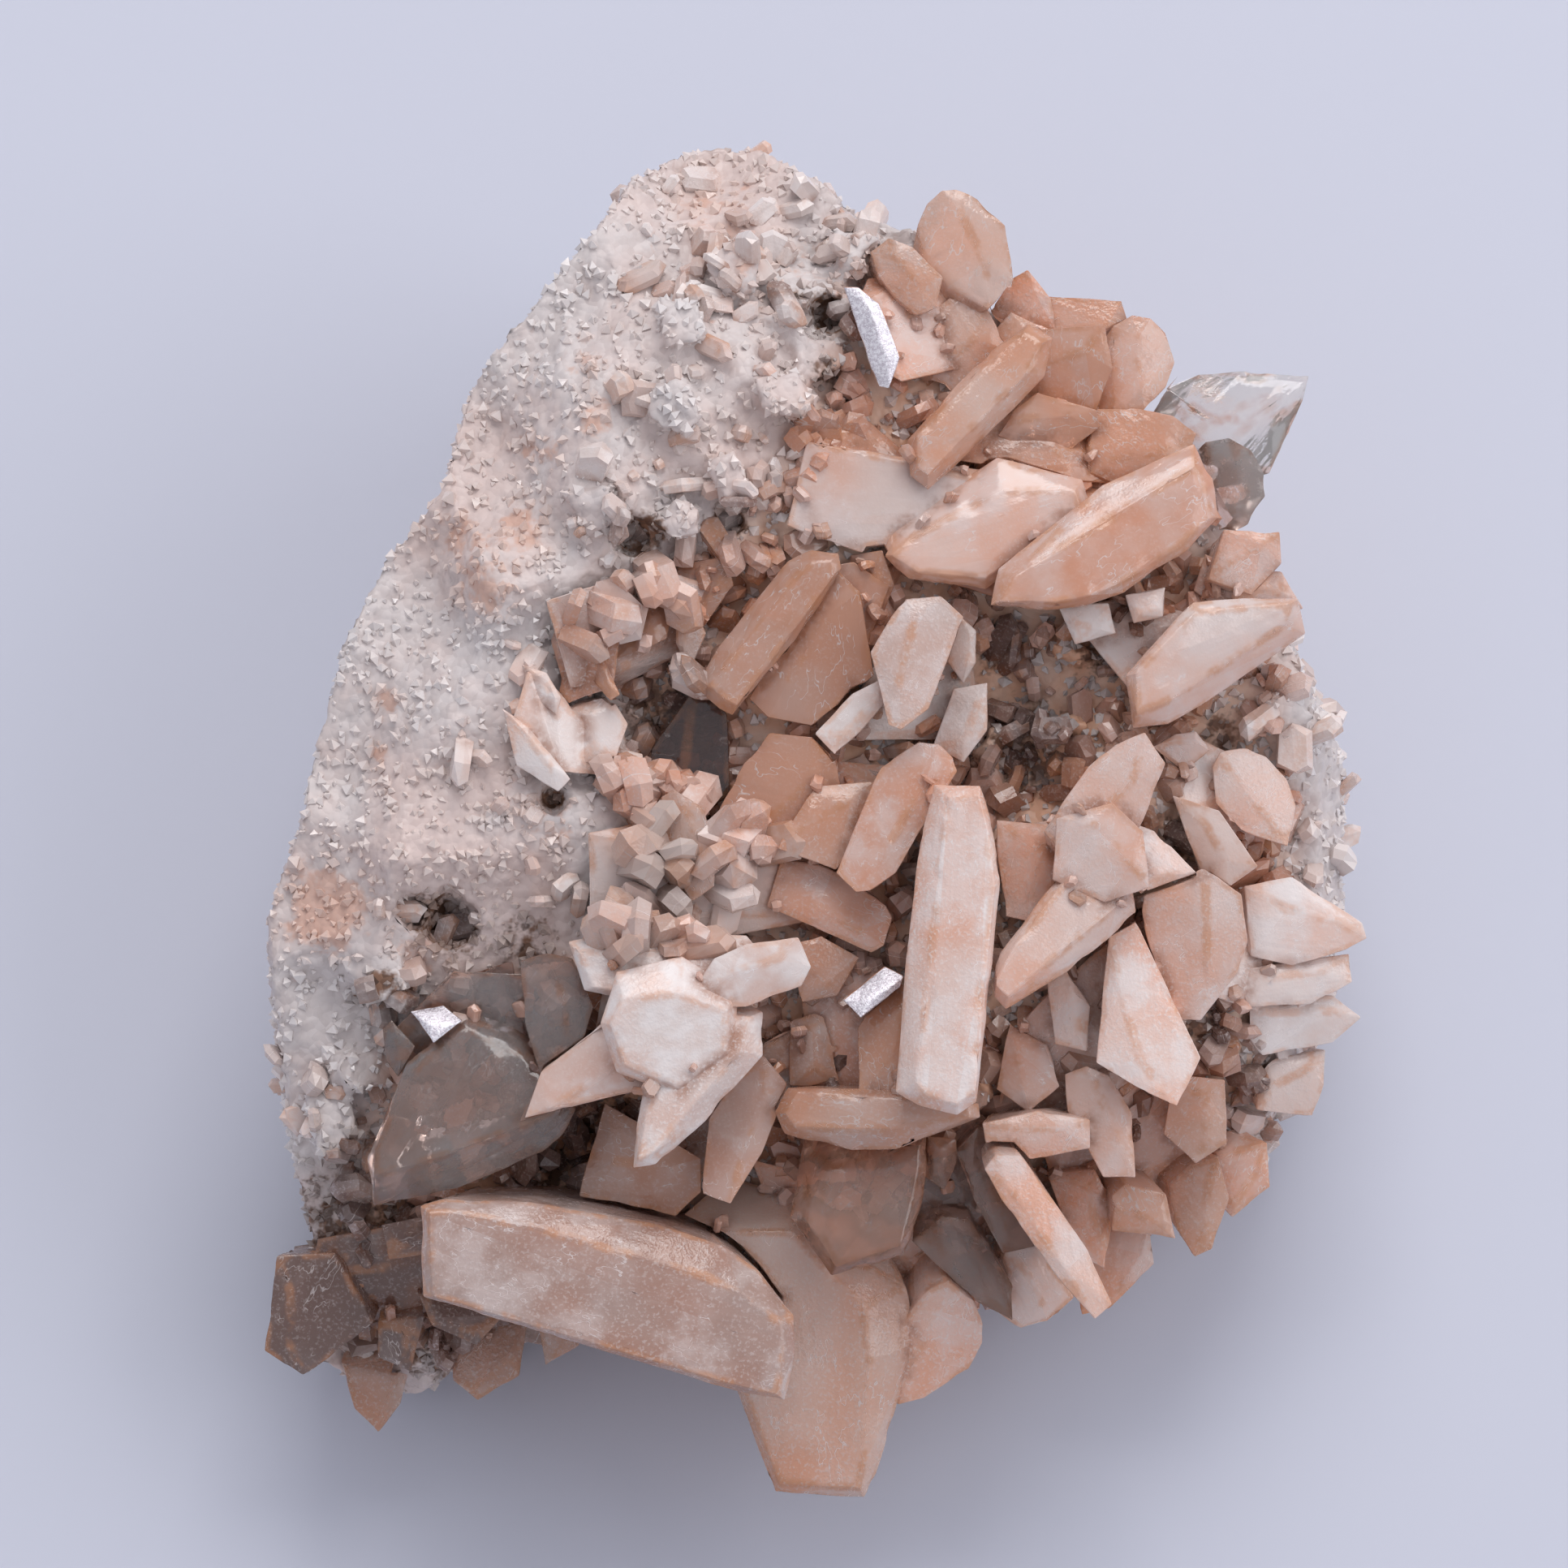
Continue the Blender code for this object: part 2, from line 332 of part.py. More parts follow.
              lean=(0, -0.02), root=0.5, drift=(0, 9)),
        blade(-4.6, (7.2, -29.6), (8.5, -29), (9.8, -29.6), (10.7, -31.8), (10.6, -33), (9.8, -34.6), (7, -36.4),
              (5.4, -36.8), (4.5, -36), (5.3, -32.8), (6.2, -30.8), lean=(0, 0.05), root=0.5, drift=(-1, 6)),
    ],
    "lower_right_group": [
        blade(-5, (18.6, -23.8), (19.4, -23.1), (22, -23.7), (22.6, -26.5), (18.6, -26), root=0.65,
              drift=(-2, 3)),
        blade(-7.4, (22.2, -23.2), (23.5, -22), (25.3, -21.4), (26, -24), (24.9, -27.2), (23.8, -27.7),
              (22.7, -26), root=0.6, drift=(-3, 3)),
        blade(-8.6, (25.3, -21.4), (28.4, -20.6), (28.6, -23.4), (26.2, -25.3), (25, -24), root=0.6,
              drift=(-3, 3)),
        blade(-6.4, (14.6, -22.4), (17.6, -22.2), (18.9, -24.6), (18.2, -28.4), (16.2, -27.4), root=0.7,
              drift=(-1, 2)),
        blade(-9.2, (17.4, -26.8), (21, -25.4), (21.4, -28.2), (19.6, -29.2), (18.6, -31), (16.8, -31.4),
              root=0.75, drift=(-2.5, 5)),
        blade(-4.2, (22.4, -16.2), (25.6, -16.6), (25.8, -20.6), (23.8, -21.8), (21.8, -20), root=0.8),
    ],
    "right_rim_burst": [
        blade(-5, (26.8, -4.6), (29.8, -4), (31.8, -6.2), (34.2, -6.9), (34.5, -7.9), (33.2, -8.6),
              (29.8, -9.6), (27.2, -9), lean=(-0.12, 0), root=0.55, drift=(-3, 0)),
        blade(-5.6, (26.4, -9.8), (29.8, -9.4), (33.4, -8.8), (33.6, -10.6), (31, -12), (27, -12.2),
              lean=(-0.12, 0), root=0.55, drift=(-3, 0)),
        blade(-6.6, (25.6, -12), (29.8, -12), (32.4, -11.4), (34.2, -12.8), (32.4, -14.4), (28, -15.2),
              lean=(-0.12, 0), root=0.55, drift=(-3, 1)),
    ],
    "right_rim_block": [
        blade(-7.6, (28.2, -15.4), (32, -14.8), (31.9, -17), (31.2, -19), (27.6, -18.6), root=0.65,
              drift=(-2, 1)),
    ],
    "lower_left_points": [
        blade(-5.2, (-26.7, -25.6), (-23, -24.9), (-23.2, -27.4), (-26.2, -27.8), root=0.8),
        blade(-6.5, (-33.2, -27.6), (-29.5, -27.4), (-27.2, -31.8), (-30, -34), (-31.6, -35.1), (-34, -33.5),
              (-33.6, -30.4), root=0.75, drift=(2, 2)),
        blade(-8, (-27, -31.7), (-24, -31.4), (-24.9, -34.9), (-27, -34), root=0.7, drift=(0, 3)),
        blade(-7.4, (-24.6, -29.8), (-19, -31.3), (-20.8, -33.2), (-23.6, -32), root=0.75, drift=(0, 2)),
    ],
    "lowest_point": [
        blade(-11.4, (-29.4, -34.4), (-24.8, -33.8), (-25.6, -37), (-27, -38.8), (-28.5, -37.3), root=0.7,
              drift=(0, 3.5)),
    ],
    "lower_edge_point": [
        blade(-10.6, (-22.6, -32.4), (-17.6, -31.6), (-18.2, -35.2), (-20.8, -36.8), (-22.4, -35.5), root=0.7,
              drift=(0, 3)),
    ],
    "lower_edge_block": [
        blade(-10, (-17.2, -30.8), (-13.6, -30.6), (-14.4, -33.4), (-16.6, -34.6), root=0.7, drift=(0, 2.5)),
    ],
}

# Ledges and blocks of massive celestite that stand out of the rind, fused to it.
CRAGS = [
    blade(-2.2, (-3.8, 26.9), (-3.3, 24.8), (-0.4, 24), (0.5, 25.4), (-0.8, 27.3), lean=(0.1, -0.2)),
    blade(-5.6, (-6.9, 34), (-5.9, 32.2), (-3.4, 31.8), (-2.9, 34.4), (-5, 35.7), lean=(0.1, -0.1)),
    blade(-1.2, (-10, 26.6), (-7.4, 27), (-6.6, 24), (-8.2, 23), (-10.4, 24.4), lean=(0.1, -0.15)),
    blade(-1.2, (-10.1, 18), (-8.3, 19.6), (-6.9, 19), (-6.8, 16.9), (-8.8, 16.7), lean=(0, -0.1)),
    blade(-1.4, (-6.8, 21.8), (-4.6, 22.6), (-3.6, 19.6), (-5.6, 18.4), lean=(0.1, -0.1)),
    blade(-3.4, (-9.6, 32), (-6.8, 31.6), (-6.4, 29), (-9.4, 28.4), lean=(0.05, -0.1)),
    blade(-0.6, (-15.6, 19.6), (-12.4, 20.4), (-11, 17.8), (-14, 16.8), lean=(0.05, -0.1)),
    blade(-5.4, (-3.4, 31), (-0.6, 31.4), (0.2, 28.6), (-2.6, 28), lean=(0.1, -0.1)),
    blade(-1.6, (-14.4, -3.6), (-11.6, -2.8), (-11, -5.4), (-13.8, -6.4), lean=(0.1, 0)),
    blade(-3.6, (-31.6, -17.4), (-28.6, -16.8), (-27.6, -20.4), (-30.6, -22), lean=(0.1, -0.05)),
    blade(-1.8, (-29, -9.8), (-25.4, -8.6), (-24.6, -11), (-27.6, -12.4), lean=(0.05, -0.1)),
    blade(-8.4, (1, 36.4), (4.4, 36), (4.8, 33.6), (1.6, 33.2), lean=(0.1, -0.1)),
]
# Pits in the rind: middle, radius and depth.
PITS = [
    (-16, 0.8, 1.1, 2), (-22.2, -6.9, 1.8, 3), (-24.6, -6.3, 1.1, 2.4), (-11, 16.9, 1.3, 2.6),
    (1.2, 30.8, 1.4, 2.6), (-5, 17.9, 0.9, 2), (-19.4, -11.6, 1.4, 2.6),
]

MATERIALS = {
    "matrix": ((0.78, 0.70, 0.65), 0.85),
    "crystal": ((0.86, 0.66, 0.56), 0.25),
}


def clear_scene():
    for obj in list(bpy.data.objects):
        bpy.data.objects.remove(obj, do_unlink=True)


def new_collection(name, rendered=True):
    collection = bpy.data.collections.new(name)
    bpy.context.scene.collection.children.link(collection)
    collection.hide_render = not rendered
    return collection


def finish_material(name, colour, roughness, transmission=0.0):
    material = bpy.data.materials.new(name)
    material.use_nodes = True
    shader = material.node_tree.nodes["Principled BSDF"]
    shader.inputs["Base Color"].default_value = (*colour, 1)
    shader.inputs["Roughness"].default_value = roughness
    shader.inputs["Metallic"].default_value = 0.0
    shader.inputs["Transmission Weight"].default_value = transmission
    material.diffuse_color = (*colour, 1)
    return material


def to_world(x, y, depth):
    """A point of the face plane, in metres in the specimen's own frame."""
    return (FACE_TO_WORLD @ Vector((x, y, depth))) * MM


def rock_height(x, y):
    """Height of the rock over the face plane, blended from the sampled heights."""
    total = 0.0
    weight_sum = 0.0
    for sample_x, sample_y, height in ROCK_HEIGHTS:
        distance = math.hypot(x - sample_x, y - sample_y) + SAMPLE_RADIUS
        weight = distance ** -HEIGHT_SHARPNESS
        total += weight * height
        weight_sum += weight
    return total / weight_sum


def outline_reach(angle):
    """Distance from the middle of the face to the rock's silhouette in one direction."""
    direction = Vector((math.cos(angle), math.sin(angle)))
    best = 0.0
    for first, second in zip(ROCK_OUTLINE, ROCK_OUTLINE[1:] + ROCK_OUTLINE[:1]):
        start = Vector(first)
        edge = Vector(second) - start
        crossing = direction.x * edge.y - direction.y * edge.x
        if abs(crossing) < 1e-9:
            continue
        along = (start.x * edge.y - start.y * edge.x) / crossing
        share = (start.x * direction.y - start.y * direction.x) / crossing
        if along > 0 and -1e-6 <= share <= 1 + 1e-6:
            best = max(best, along)
    return best


def mesh_object(name, mesh_builder, collection):
    mesh = bpy.data.meshes.new(name)
    mesh_builder.to_mesh(mesh)
    mesh_builder.free()
    obj = bpy.data.objects.new(name, mesh)
    collection.objects.link(obj)
    return obj


def convex_piece(name, points, collection):
    """The convex solid round the points."""
    hull = bmesh.new()
    for point in points:
        hull.verts.new(point)
    result = bmesh.ops.convex_hull(hull, input=hull.verts)
    loose = {item for key in ("geom_interior", "geom_unused") for item in result[key]}
    bmesh.ops.delete(hull, geom=[v for v in loose if isinstance(v, bmesh.types.BMVert)], context="VERTS")
    bmesh.ops.dissolve_limit(hull, angle_limit=math.radians(1), verts=hull.verts, edges=hull.edges)
    bmesh.ops.recalc_face_normals(hull, faces=hull.faces)
    return mesh_object(name, hull, collection)


def corners_about_middle(crystal):
    """The middle of a blade's outline, and the arms from there to its corners."""
    corners = [Vector(corner) for corner in crystal.outline]
    middle = sum(corners, Vector((0, 0))) / len(corners)
    return middle, [corner - middle for corner in corners]


def blade_axes(middle, arms):
    """The direction that a blade is longest in, and the side that its flank faces."""
    spread_x = sum(arm.x * arm.x for arm in arms)
    spread_y = sum(arm.y * arm.y for arm in arms)
    spread_both = sum(arm.x * arm.y for arm in arms)
    turn = 0.5 * math.atan2(2 * spread_both, spread_x - spread_y)
    along = Vector((math.cos(turn), math.sin(turn)))
    side = 1 if math.sin(middle.x + 3 * middle.y) > 0 else -1
    return along, Vector((-along.y, along.x)) * side


def blade_points(crystal, grow=0.0):
    """Corner points of a blade: its face, the girdle round it, and its root in the bed."""
    middle, arms = corners_about_middle(crystal)
    along, flank = blade_axes(middle, arms)
    scatter = Vector((math.sin(5 * middle.x + middle.y), math.cos(4 * middle.y - middle.x)))
    lean = Vector(crystal.lean) + scatter * LEAN_SCATTER
    faceted = sum(arm.length for arm in arms) / len(arms) > FACETED_SIZE
    width = max(arm.dot(flank) for arm in arms)
    points = []
    for index, arm in enumerate(arms):
        wide = middle + arm * (1 + grow * CORNER_SLACK / arm.length)
        front = crystal.depth + lean.dot(arm)
        down = max(0.0, arm.dot(flank) / width) * FLANK_SHARE
        if faceted:
            inset = min(MOST_INSET, EDGE_FACET / arm.length)
            face = middle + (wide - middle) * (1 - inset) - flank * width * down
            points.append(to_world(face.x, face.y, front + grow))
            points.append(to_world(wide.x, wide.y, front + grow - EDGE_FACET - width * down * FLANK_SLOPE))
        else:
            points.append(to_world(wide.x, wide.y, front + grow - RIDGE_DROP - width * down * FLANK_SLOPE))
        if len(arms) > PLAIN_CORNERS and index % 2:
            continue
        root = middle + Vector(crystal.drift) + arm * (crystal.root + grow * CORNER_SLACK / arm.length)
        if crystal.reach is None:
            foot = min(rock_height(root.x, root.y) - ROOT_DEPTH, front - LEAST_BODY)
        else:
            foot = front - crystal.reach
        points.append(to_world(root.x, root.y, foot - grow))
    if not faceted:
        length = max(arm.dot(along) for arm in arms)
        for end in (-1, 1):
            arm = along * end * length * RIDGE_SHARE - flank * width * RIDGE_SHIFT
            ridge = middle + arm
            points.append(to_world(ridge.x, ridge.y, crystal.depth + lean.dot(arm) + grow))
    return points


def root_points(crystals, grow=0.0):
    """Corner points of the mass that a spray's blades grow out of, sunk in the bed."""
    points = []
    for crystal in crystals:
        middle, arms = corners_about_middle(crystal)
        for arm in arms[::2]:
            spot = middle + Vector(crystal.drift) + arm * (crystal.root + grow * CORNER_SLACK / arm.length)
            bed = rock_height(spot.x, spot.y)
            points.append(to_world(spot.x, spot.y, bed + MASS_RISE + grow))
            points.append(to_world(spot.x, spot.y, bed - MASS_DEPTH - grow))
    return points


def spray_pieces(name, collection, grow=0.0):
    """The convex pieces of one spray, all of them larger by grow."""
    crystals = SPRAYS[name]
    pieces = []
    for index, crystal in enumerate(crystals):
        pieces.append(convex_piece(f"{name}_{index}", blade_points(crystal, grow), collection))
    if len(crystals) > 1:
        pieces.append(convex_piece(f"{name}_root", root_points(crystals, grow), collection))
    return pieces


def apply_modifiers(obj):
    bpy.context.view_layer.update()
    graph = bpy.context.evaluated_depsgraph_get()
    mesh = bpy.data.meshes.new_from_object(obj.evaluated_get(graph))
    obj.modifiers.clear()
    obj.data = mesh


def boolean(obj, operation, tools):
    """Joins the tools to the object, or cuts them from it."""
    gathered = bpy.data.collections.new("tools")
    for tool in tools:
        gathered.objects.link(tool)
    bpy.context.scene.collection.children.link(gathered)
    modifier = obj.modifiers.new(operation.lower(), "BOOLEAN")
    modifier.operation = operation
    modifier.operand_type = "COLLECTION"
    modifier.collection = gathered
    modifier.solver = SOLVER
    apply_modifiers(obj)
    bpy.data.collections.remove(gathered)


def islands(shape):
    """The separate bodies of a mesh, as lists of faces."""
    left = set(shape.faces)
    while left:
        seed = left.pop()
        body = [seed]
        for face in body:
            for edge in face.edges:
                if len(edge.link_faces) != 2:
                    continue
                for neighbour in edge.link_faces:
                    if neighbour in left:
                        left.remove(neighbour)
                        body.append(neighbour)
        yield body


def body_volume(faces):
    total = 0.0
    for face in faces:
        corners = [vertex.co for vertex in face.verts]
        for second, third in zip(corners[1:], corners[2:]):
            total += corners[0].dot(second.cross(third)) / 6
    return total


def keep_largest_body(obj):
    """Drops the crumbs that a cut has parted from the solid."""
    shape = bmesh.new()
    shape.from_mesh(obj.data)
    bodies = sorted(islands(shape), key=body_volume)
    crumbs = [face for body in bodies[:-1] for face in body]
    bmesh.ops.delete(shape, geom=crumbs, context="FACES")
    bmesh.ops.dissolve_degenerate(shape, dist=1e-6, edges=shape.edges)
    bmesh.ops.triangulate(shape, faces=shape.faces)
    shape.to_mesh(obj.data)
    shape.free()


def boxes_meet(first, second):
    def corners(obj):
        return [obj.matrix_world @ Vector(corner) for corner in obj.bound_box]

    for axis in range(3):
        low = [corner[axis] for corner in corners(first)]
        high = [corner[axis] for corner in corners(second)]
        if min(low) > max(high) or min(high) > max(low):
            return False
    return True


def rock_point(sector, ring, rings):
    """A point of the rock's skin: over the top, down the wall and in under the base."""
    angle = 2 * math.pi * sector / ROCK_SECTORS
    reach = outline_reach(angle)
    direction = Vector((math.cos(angle), math.sin(angle)))
    if ring < len(TOP_RINGS):
        spot = direction * reach * TOP_RINGS[ring]
        return to_world(spot.x, spot.y, rock_height(spot.x, spot.y))
    rim_spot = direction * reach
    rim = to_world(rim_spot.x, rim_spot.y, rock_height(rim_spot.x, rim_spot.y) - RIM_DROP)
    front_share = 0.5 + 0.5 * math.sin(angle - TAPER_TURN)
    taper = BASE_TAPER_BACK + (BASE_TAPER_FRONT - BASE_TAPER_BACK) * front_share
    foot = Vector((rim.x * taper, rim.y * taper, -BASE_STOCK * MM))
    step = ring - len(TOP_RINGS) + 1
    if step <= WALL_RINGS:
        share = step / WALL_RINGS
        wall = rim.lerp(foot, share)
        bulge = 1 + WALL_BULGE * math.sin(math.pi * share)
        return Vector((wall.x * bulge, wall.y * bulge, wall.z))
    return Vector((foot.x * BASE_RINGS[0], foot.y * BASE_RINGS[0], foot.z))


def cut_flat(rock):
    """Saws the stock off under the specimen, so that it rests on one flat face."""
    shape = bmesh.new()
    shape.from_mesh(rock.data)
    everything = shape.verts[:] + shape.edges[:] + shape.faces[:]
    cut = bmesh.ops.bisect_plane(shape, geom=everything, plane_co=(0, 0, 0), plane_no=(0, 0, 1), clear_inner=True)
    rim = [item for item in cut["geom_cut"] if isinstance(item, bmesh.types.BMEdge)]
    bmesh.ops.contextual_create(shape, geom=rim)
    bmesh.ops.recalc_face_normals(shape, faces=shape.faces)
    shape.to_mesh(rock.data)
    shape.free()


def build_rock(collection):
    """The lump of rock: a globe of rings and sectors drawn out to the silhouette and the heights."""
    rings = len(TOP_RINGS) + WALL_RINGS + len(BASE_RINGS)
    shape = bmesh.new()
    bmesh.ops.create_uvsphere(shape, u_segments=ROCK_SECTORS, v_segments=rings + 1, radius=1.0)
    for vertex in shape.verts:
        polar = math.acos(max(-1, min(1, vertex.co.z)))
        ring = round(polar / math.pi * (rings + 1)) - 1
        if ring < 0:
            vertex.co = to_world(0, 0, rock_height(0, 0))
        elif ring >= rings:
            vertex.co = Vector((0, 0, -BASE_STOCK * MM))
        else:
            sector = round(math.atan2(vertex.co.y, vertex.co.x) / (2 * math.pi) * ROCK_SECTORS)
            vertex.co = rock_point(sector, ring, rings)
        if vertex.co.z > 0:
            spot = (vertex.co / MM - FACE_ORIGIN) / LUMP_SIZE
            lumps = noise.noise_vector(spot) + SMALL_LUMPS[1] * noise.noise_vector(spot * SMALL_LUMPS[0])
            if ring >= len(TOP_RINGS):
                lumps += WALL_LUMPS[1] * noise.noise_vector(spot * WALL_LUMPS[0])
            vertex.co += lumps * LUMP_HEIGHT * MM
    bmesh.ops.recalc_face_normals(shape, faces=shape.faces)
    rock = mesh_object("matrix", shape, collection)
    thinning = rock.modifiers.new("fewer facets", "DECIMATE")
    thinning.ratio = ROCK_THINNING
    apply_modifiers(rock)
    cut_flat(rock)
    return rock


def pit(x, y, radius, depth, collection):
    """A ragged hole that narrows inwards, ready to be cut from the rind."""
    points = []
    for side in range(PIT_SIDES):
        angle = 2 * math.pi * side / PIT_SIDES
        ragged = radius * (1 + PIT_RAGGEDNESS * math.sin(3 * angle + x))
        for spread, height in (PIT_MOUTH, (PIT_FLOOR, -depth)):
            across = x + ragged * spread * math.cos(angle)
            up = y + ragged * spread * math.sin(angle)
            points.append(to_world(across, up, rock_height(x, y) + height))
    return convex_piece("pit", points, collection)


def inside(x, y, outline):
    """Whether a point of the face plane lies inside an outline."""
    within = False
    for (x1, y1), (x2, y2) in zip(outline, outline[1:] + outline[:1]):
        if (y1 > y) != (y2 > y) and x < (x2 - x1) * (y - y1) / (y2 - y1) + x1:
            within = not within
    return within


def swollen(rock, collection):
    """A copy of the rock whose skin stands out by the contact gap."""
    shape = bmesh.new()
    shape.from_mesh(rock.data)
    shape.normal_update()
    moved = [(vertex, vertex.co + vertex.normal * CONTACT_GAP * SWELLING * MM) for vertex in shape.verts]
    for vertex, spot in moved:
        vertex.co = spot
    return mesh_object("swollen_rock", shape, collection)


def druse_crystals(collection):
    """Small crystals that grow from the open bed between the sprays."""
    chance = random.Random(DRUSE_SEED)
    blades = [crystal.outline for crystals in SPRAYS.values() for crystal in crystals]
    pieces = []
    across = int(DRUSE_FIELD / DRUSE_SPACING)
    for row in range(across):
        for column in range(across):
            x = (column - across / 2 + chance.uniform(-DRUSE_SCATTER, DRUSE_SCATTER)) * DRUSE_SPACING
            y = (row - across / 2 + chance.uniform(-DRUSE_SCATTER, DRUSE_SCATTER)) * DRUSE_SPACING
            turn = Matrix.Rotation(chance.uniform(0, math.pi), 3, "Z")
            tip = Matrix.Rotation(chance.uniform(0.2, 1.2), 3, "X")
            length = chance.uniform(1.3, 2.6)
            width = chance.uniform(0.9, 1.7)
            thick = chance.uniform(0.5, 0.9)
            if not inside(x, y, BED_OUTLINE) or any(inside(x, y, outline) for outline in blades):
                continue
            centre = Vector((x, y, rock_height(x, y) + DRUSE_LIFT))
            points = []
            for end in (-1, 1):
                for u, v in ((length, 0), (length * 0.6, width), (-length, width * 0.7), (-length, -width),
                             (length * 0.6, -width)):
                    corner = centre + turn @ tip @ Vector((v, u, end * thick))
                    points.append(to_world(*corner))
            pieces.append(convex_piece("druse", points, collection))
    return pieces


def build():
    clear_scene()
    noise.seed_set(LUMP_SEED)
    parts = new_collection("celestite")
    workshop = new_collection("workshop", rendered=False)
    rock = build_rock(parts)
    grown_rock = swollen(rock, workshop)
    crags = [convex_piece("crag", blade_points(crag), workshop) for crag in CRAGS]
    grown = []
    sprays = []
    for name in SPRAYS:
        pieces = spray_pieces(name, workshop)
        spray = pieces[0]
        if len(pieces) > 1:
            boolean(spray, "UNION", pieces[1:])
        near = [tool for tool in grown if boxes_meet(spray, tool)]
        boolean(spray, "DIFFERENCE", near + [grown_rock])
        keep_largest_body(spray)
        spray.name = name
        workshop.objects.unlink(spray)
        parts.objects.link(spray)
        sprays.append(spray)
        grown += spray_pieces(name, workshop, CONTACT_GAP)
    druse = druse_crystals(workshop) + crags
    for crystal in druse:
        near = [tool for tool in grown if boxes_meet(crystal, tool)]
        if near:
            boolean(crystal, "DIFFERENCE", near)
    boolean(rock, "UNION", [crystal for crystal in druse if crystal.data.polygons])
    boolean(rock, "DIFFERENCE", [pit(*place, workshop) for place in PITS])
    keep_largest_body(rock)
    for tool in list(workshop.objects):
        bpy.data.objects.remove(tool, do_unlink=True)
    stone = finish_material("matrix", *MATERIALS["matrix"])
    crystal = finish_material("crystal", *MATERIALS["crystal"], transmission=0.6)
    rock.data.materials.append(stone)
    for spray in sprays:
        spray.data.materials.append(crystal)


build()
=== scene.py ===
"""The finish of a hand specimen of celestite: peach blades standing on a sugary white matrix.

Every crystal spray takes its facets from the solid of the same name, gets a fine worn edge, growth
lines and thin iron stain, and the rock gets its grain, its druse of small crystals and its earth.
Places on the specimen are given on its face plane: x right, y up the face, depth out of it, in
millimetres. The face leans back from level by FACE_LEAN.
"""

import math
import random

import bmesh
import bpy
import numpy as np
from mathutils import Matrix, Vector, noise
from mathutils.bvhtree import BVHTree
from mathutils.kdtree import KDTree

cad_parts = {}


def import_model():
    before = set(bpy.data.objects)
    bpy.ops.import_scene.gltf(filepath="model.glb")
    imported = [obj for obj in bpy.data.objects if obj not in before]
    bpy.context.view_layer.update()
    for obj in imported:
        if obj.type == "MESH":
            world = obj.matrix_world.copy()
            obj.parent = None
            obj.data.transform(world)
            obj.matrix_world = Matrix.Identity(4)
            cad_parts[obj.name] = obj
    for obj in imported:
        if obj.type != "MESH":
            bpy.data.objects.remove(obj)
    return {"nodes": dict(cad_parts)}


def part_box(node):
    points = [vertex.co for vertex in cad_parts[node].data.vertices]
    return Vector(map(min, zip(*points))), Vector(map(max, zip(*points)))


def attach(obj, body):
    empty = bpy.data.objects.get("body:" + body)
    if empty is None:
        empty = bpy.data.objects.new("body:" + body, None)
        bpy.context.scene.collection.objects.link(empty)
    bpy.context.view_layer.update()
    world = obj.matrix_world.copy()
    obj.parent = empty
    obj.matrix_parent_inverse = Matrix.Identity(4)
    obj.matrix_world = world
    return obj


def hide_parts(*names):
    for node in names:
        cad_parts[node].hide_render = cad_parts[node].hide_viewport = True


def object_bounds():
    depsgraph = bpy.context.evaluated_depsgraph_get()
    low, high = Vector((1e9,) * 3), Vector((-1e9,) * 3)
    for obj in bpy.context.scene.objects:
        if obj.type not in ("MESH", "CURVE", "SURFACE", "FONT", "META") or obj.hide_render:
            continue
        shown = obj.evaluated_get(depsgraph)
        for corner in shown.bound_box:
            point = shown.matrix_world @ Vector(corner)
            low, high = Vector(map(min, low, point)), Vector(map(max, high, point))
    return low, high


MM = 0.001
FACE_LEAN = math.radians(20)
FACE_ORIGIN = Vector((-0.25, -3.25, 30.0))
FACE_TO_WORLD = Matrix.Translation(FACE_ORIGIN) @ Matrix.Rotation(FACE_LEAN, 4, "X")
WORLD_TO_FACE = FACE_TO_WORLD.inverted()
# The direction from the face to the eye.
EYE = FACE_TO_WORLD.to_3x3() @ Vector((0, 0, 1))

# The camera looks straight at the face from far off. The photograph shows PICTURE_WIDTH of it.
PICTURE_MIDDLE = (-1.7, 1.7)
PICTURE_WIDTH = 96.6
CAMERA_AWAY = 900
SENSOR_WIDTH = 36


def to_world(x, y, depth=0.0):
    """A point of the face plane, in metres in the specimen's own frame."""
    return (FACE_TO_WORLD @ Vector((x, y, depth))) * MM


def to_face(points):
    """World points in metres as face points in millimetres, one row each."""
    turn = np.array(WORLD_TO_FACE.to_3x3())
    return points / MM @ turn.T + np.array(WORLD_TO_FACE.translation)


def up_the_face(normals):
    """How far each normal turns towards the eye, from -1 to 1."""
    return normals @ np.array(EYE)


def read(items, field, width=1, kind=float):
    """What a mesh holds for each of its points, corners or faces, one row each."""
    values = np.empty(len(items) * width, kind)
    items.foreach_get(field, values)
    return values.reshape(-1, width) if width > 1 else values


def store(mesh, name, kind, domain, field, values):
    """Keeps a value on each point or face of a mesh, for the materials to read."""
    layer = mesh.attributes.new(name, kind, domain)
    layer.data.foreach_set(field, np.asarray(values, np.float32).ravel())


def add_object(name, data):
    made = bpy.data.objects.new(name, data)
    bpy.context.scene.collection.objects.link(made)
    return made


# Shader building

SOCKET_KINDS = {float: "NodeSocketFloat", tuple: "NodeSocketColor"}
WHITE = (1.0, 1.0, 1.0)


def rgba(colour):
    """A plain colour with its alpha, or a colour socket as it is."""
    return colour if isinstance(colour, bpy.types.NodeSocket) else (*colour, 1)


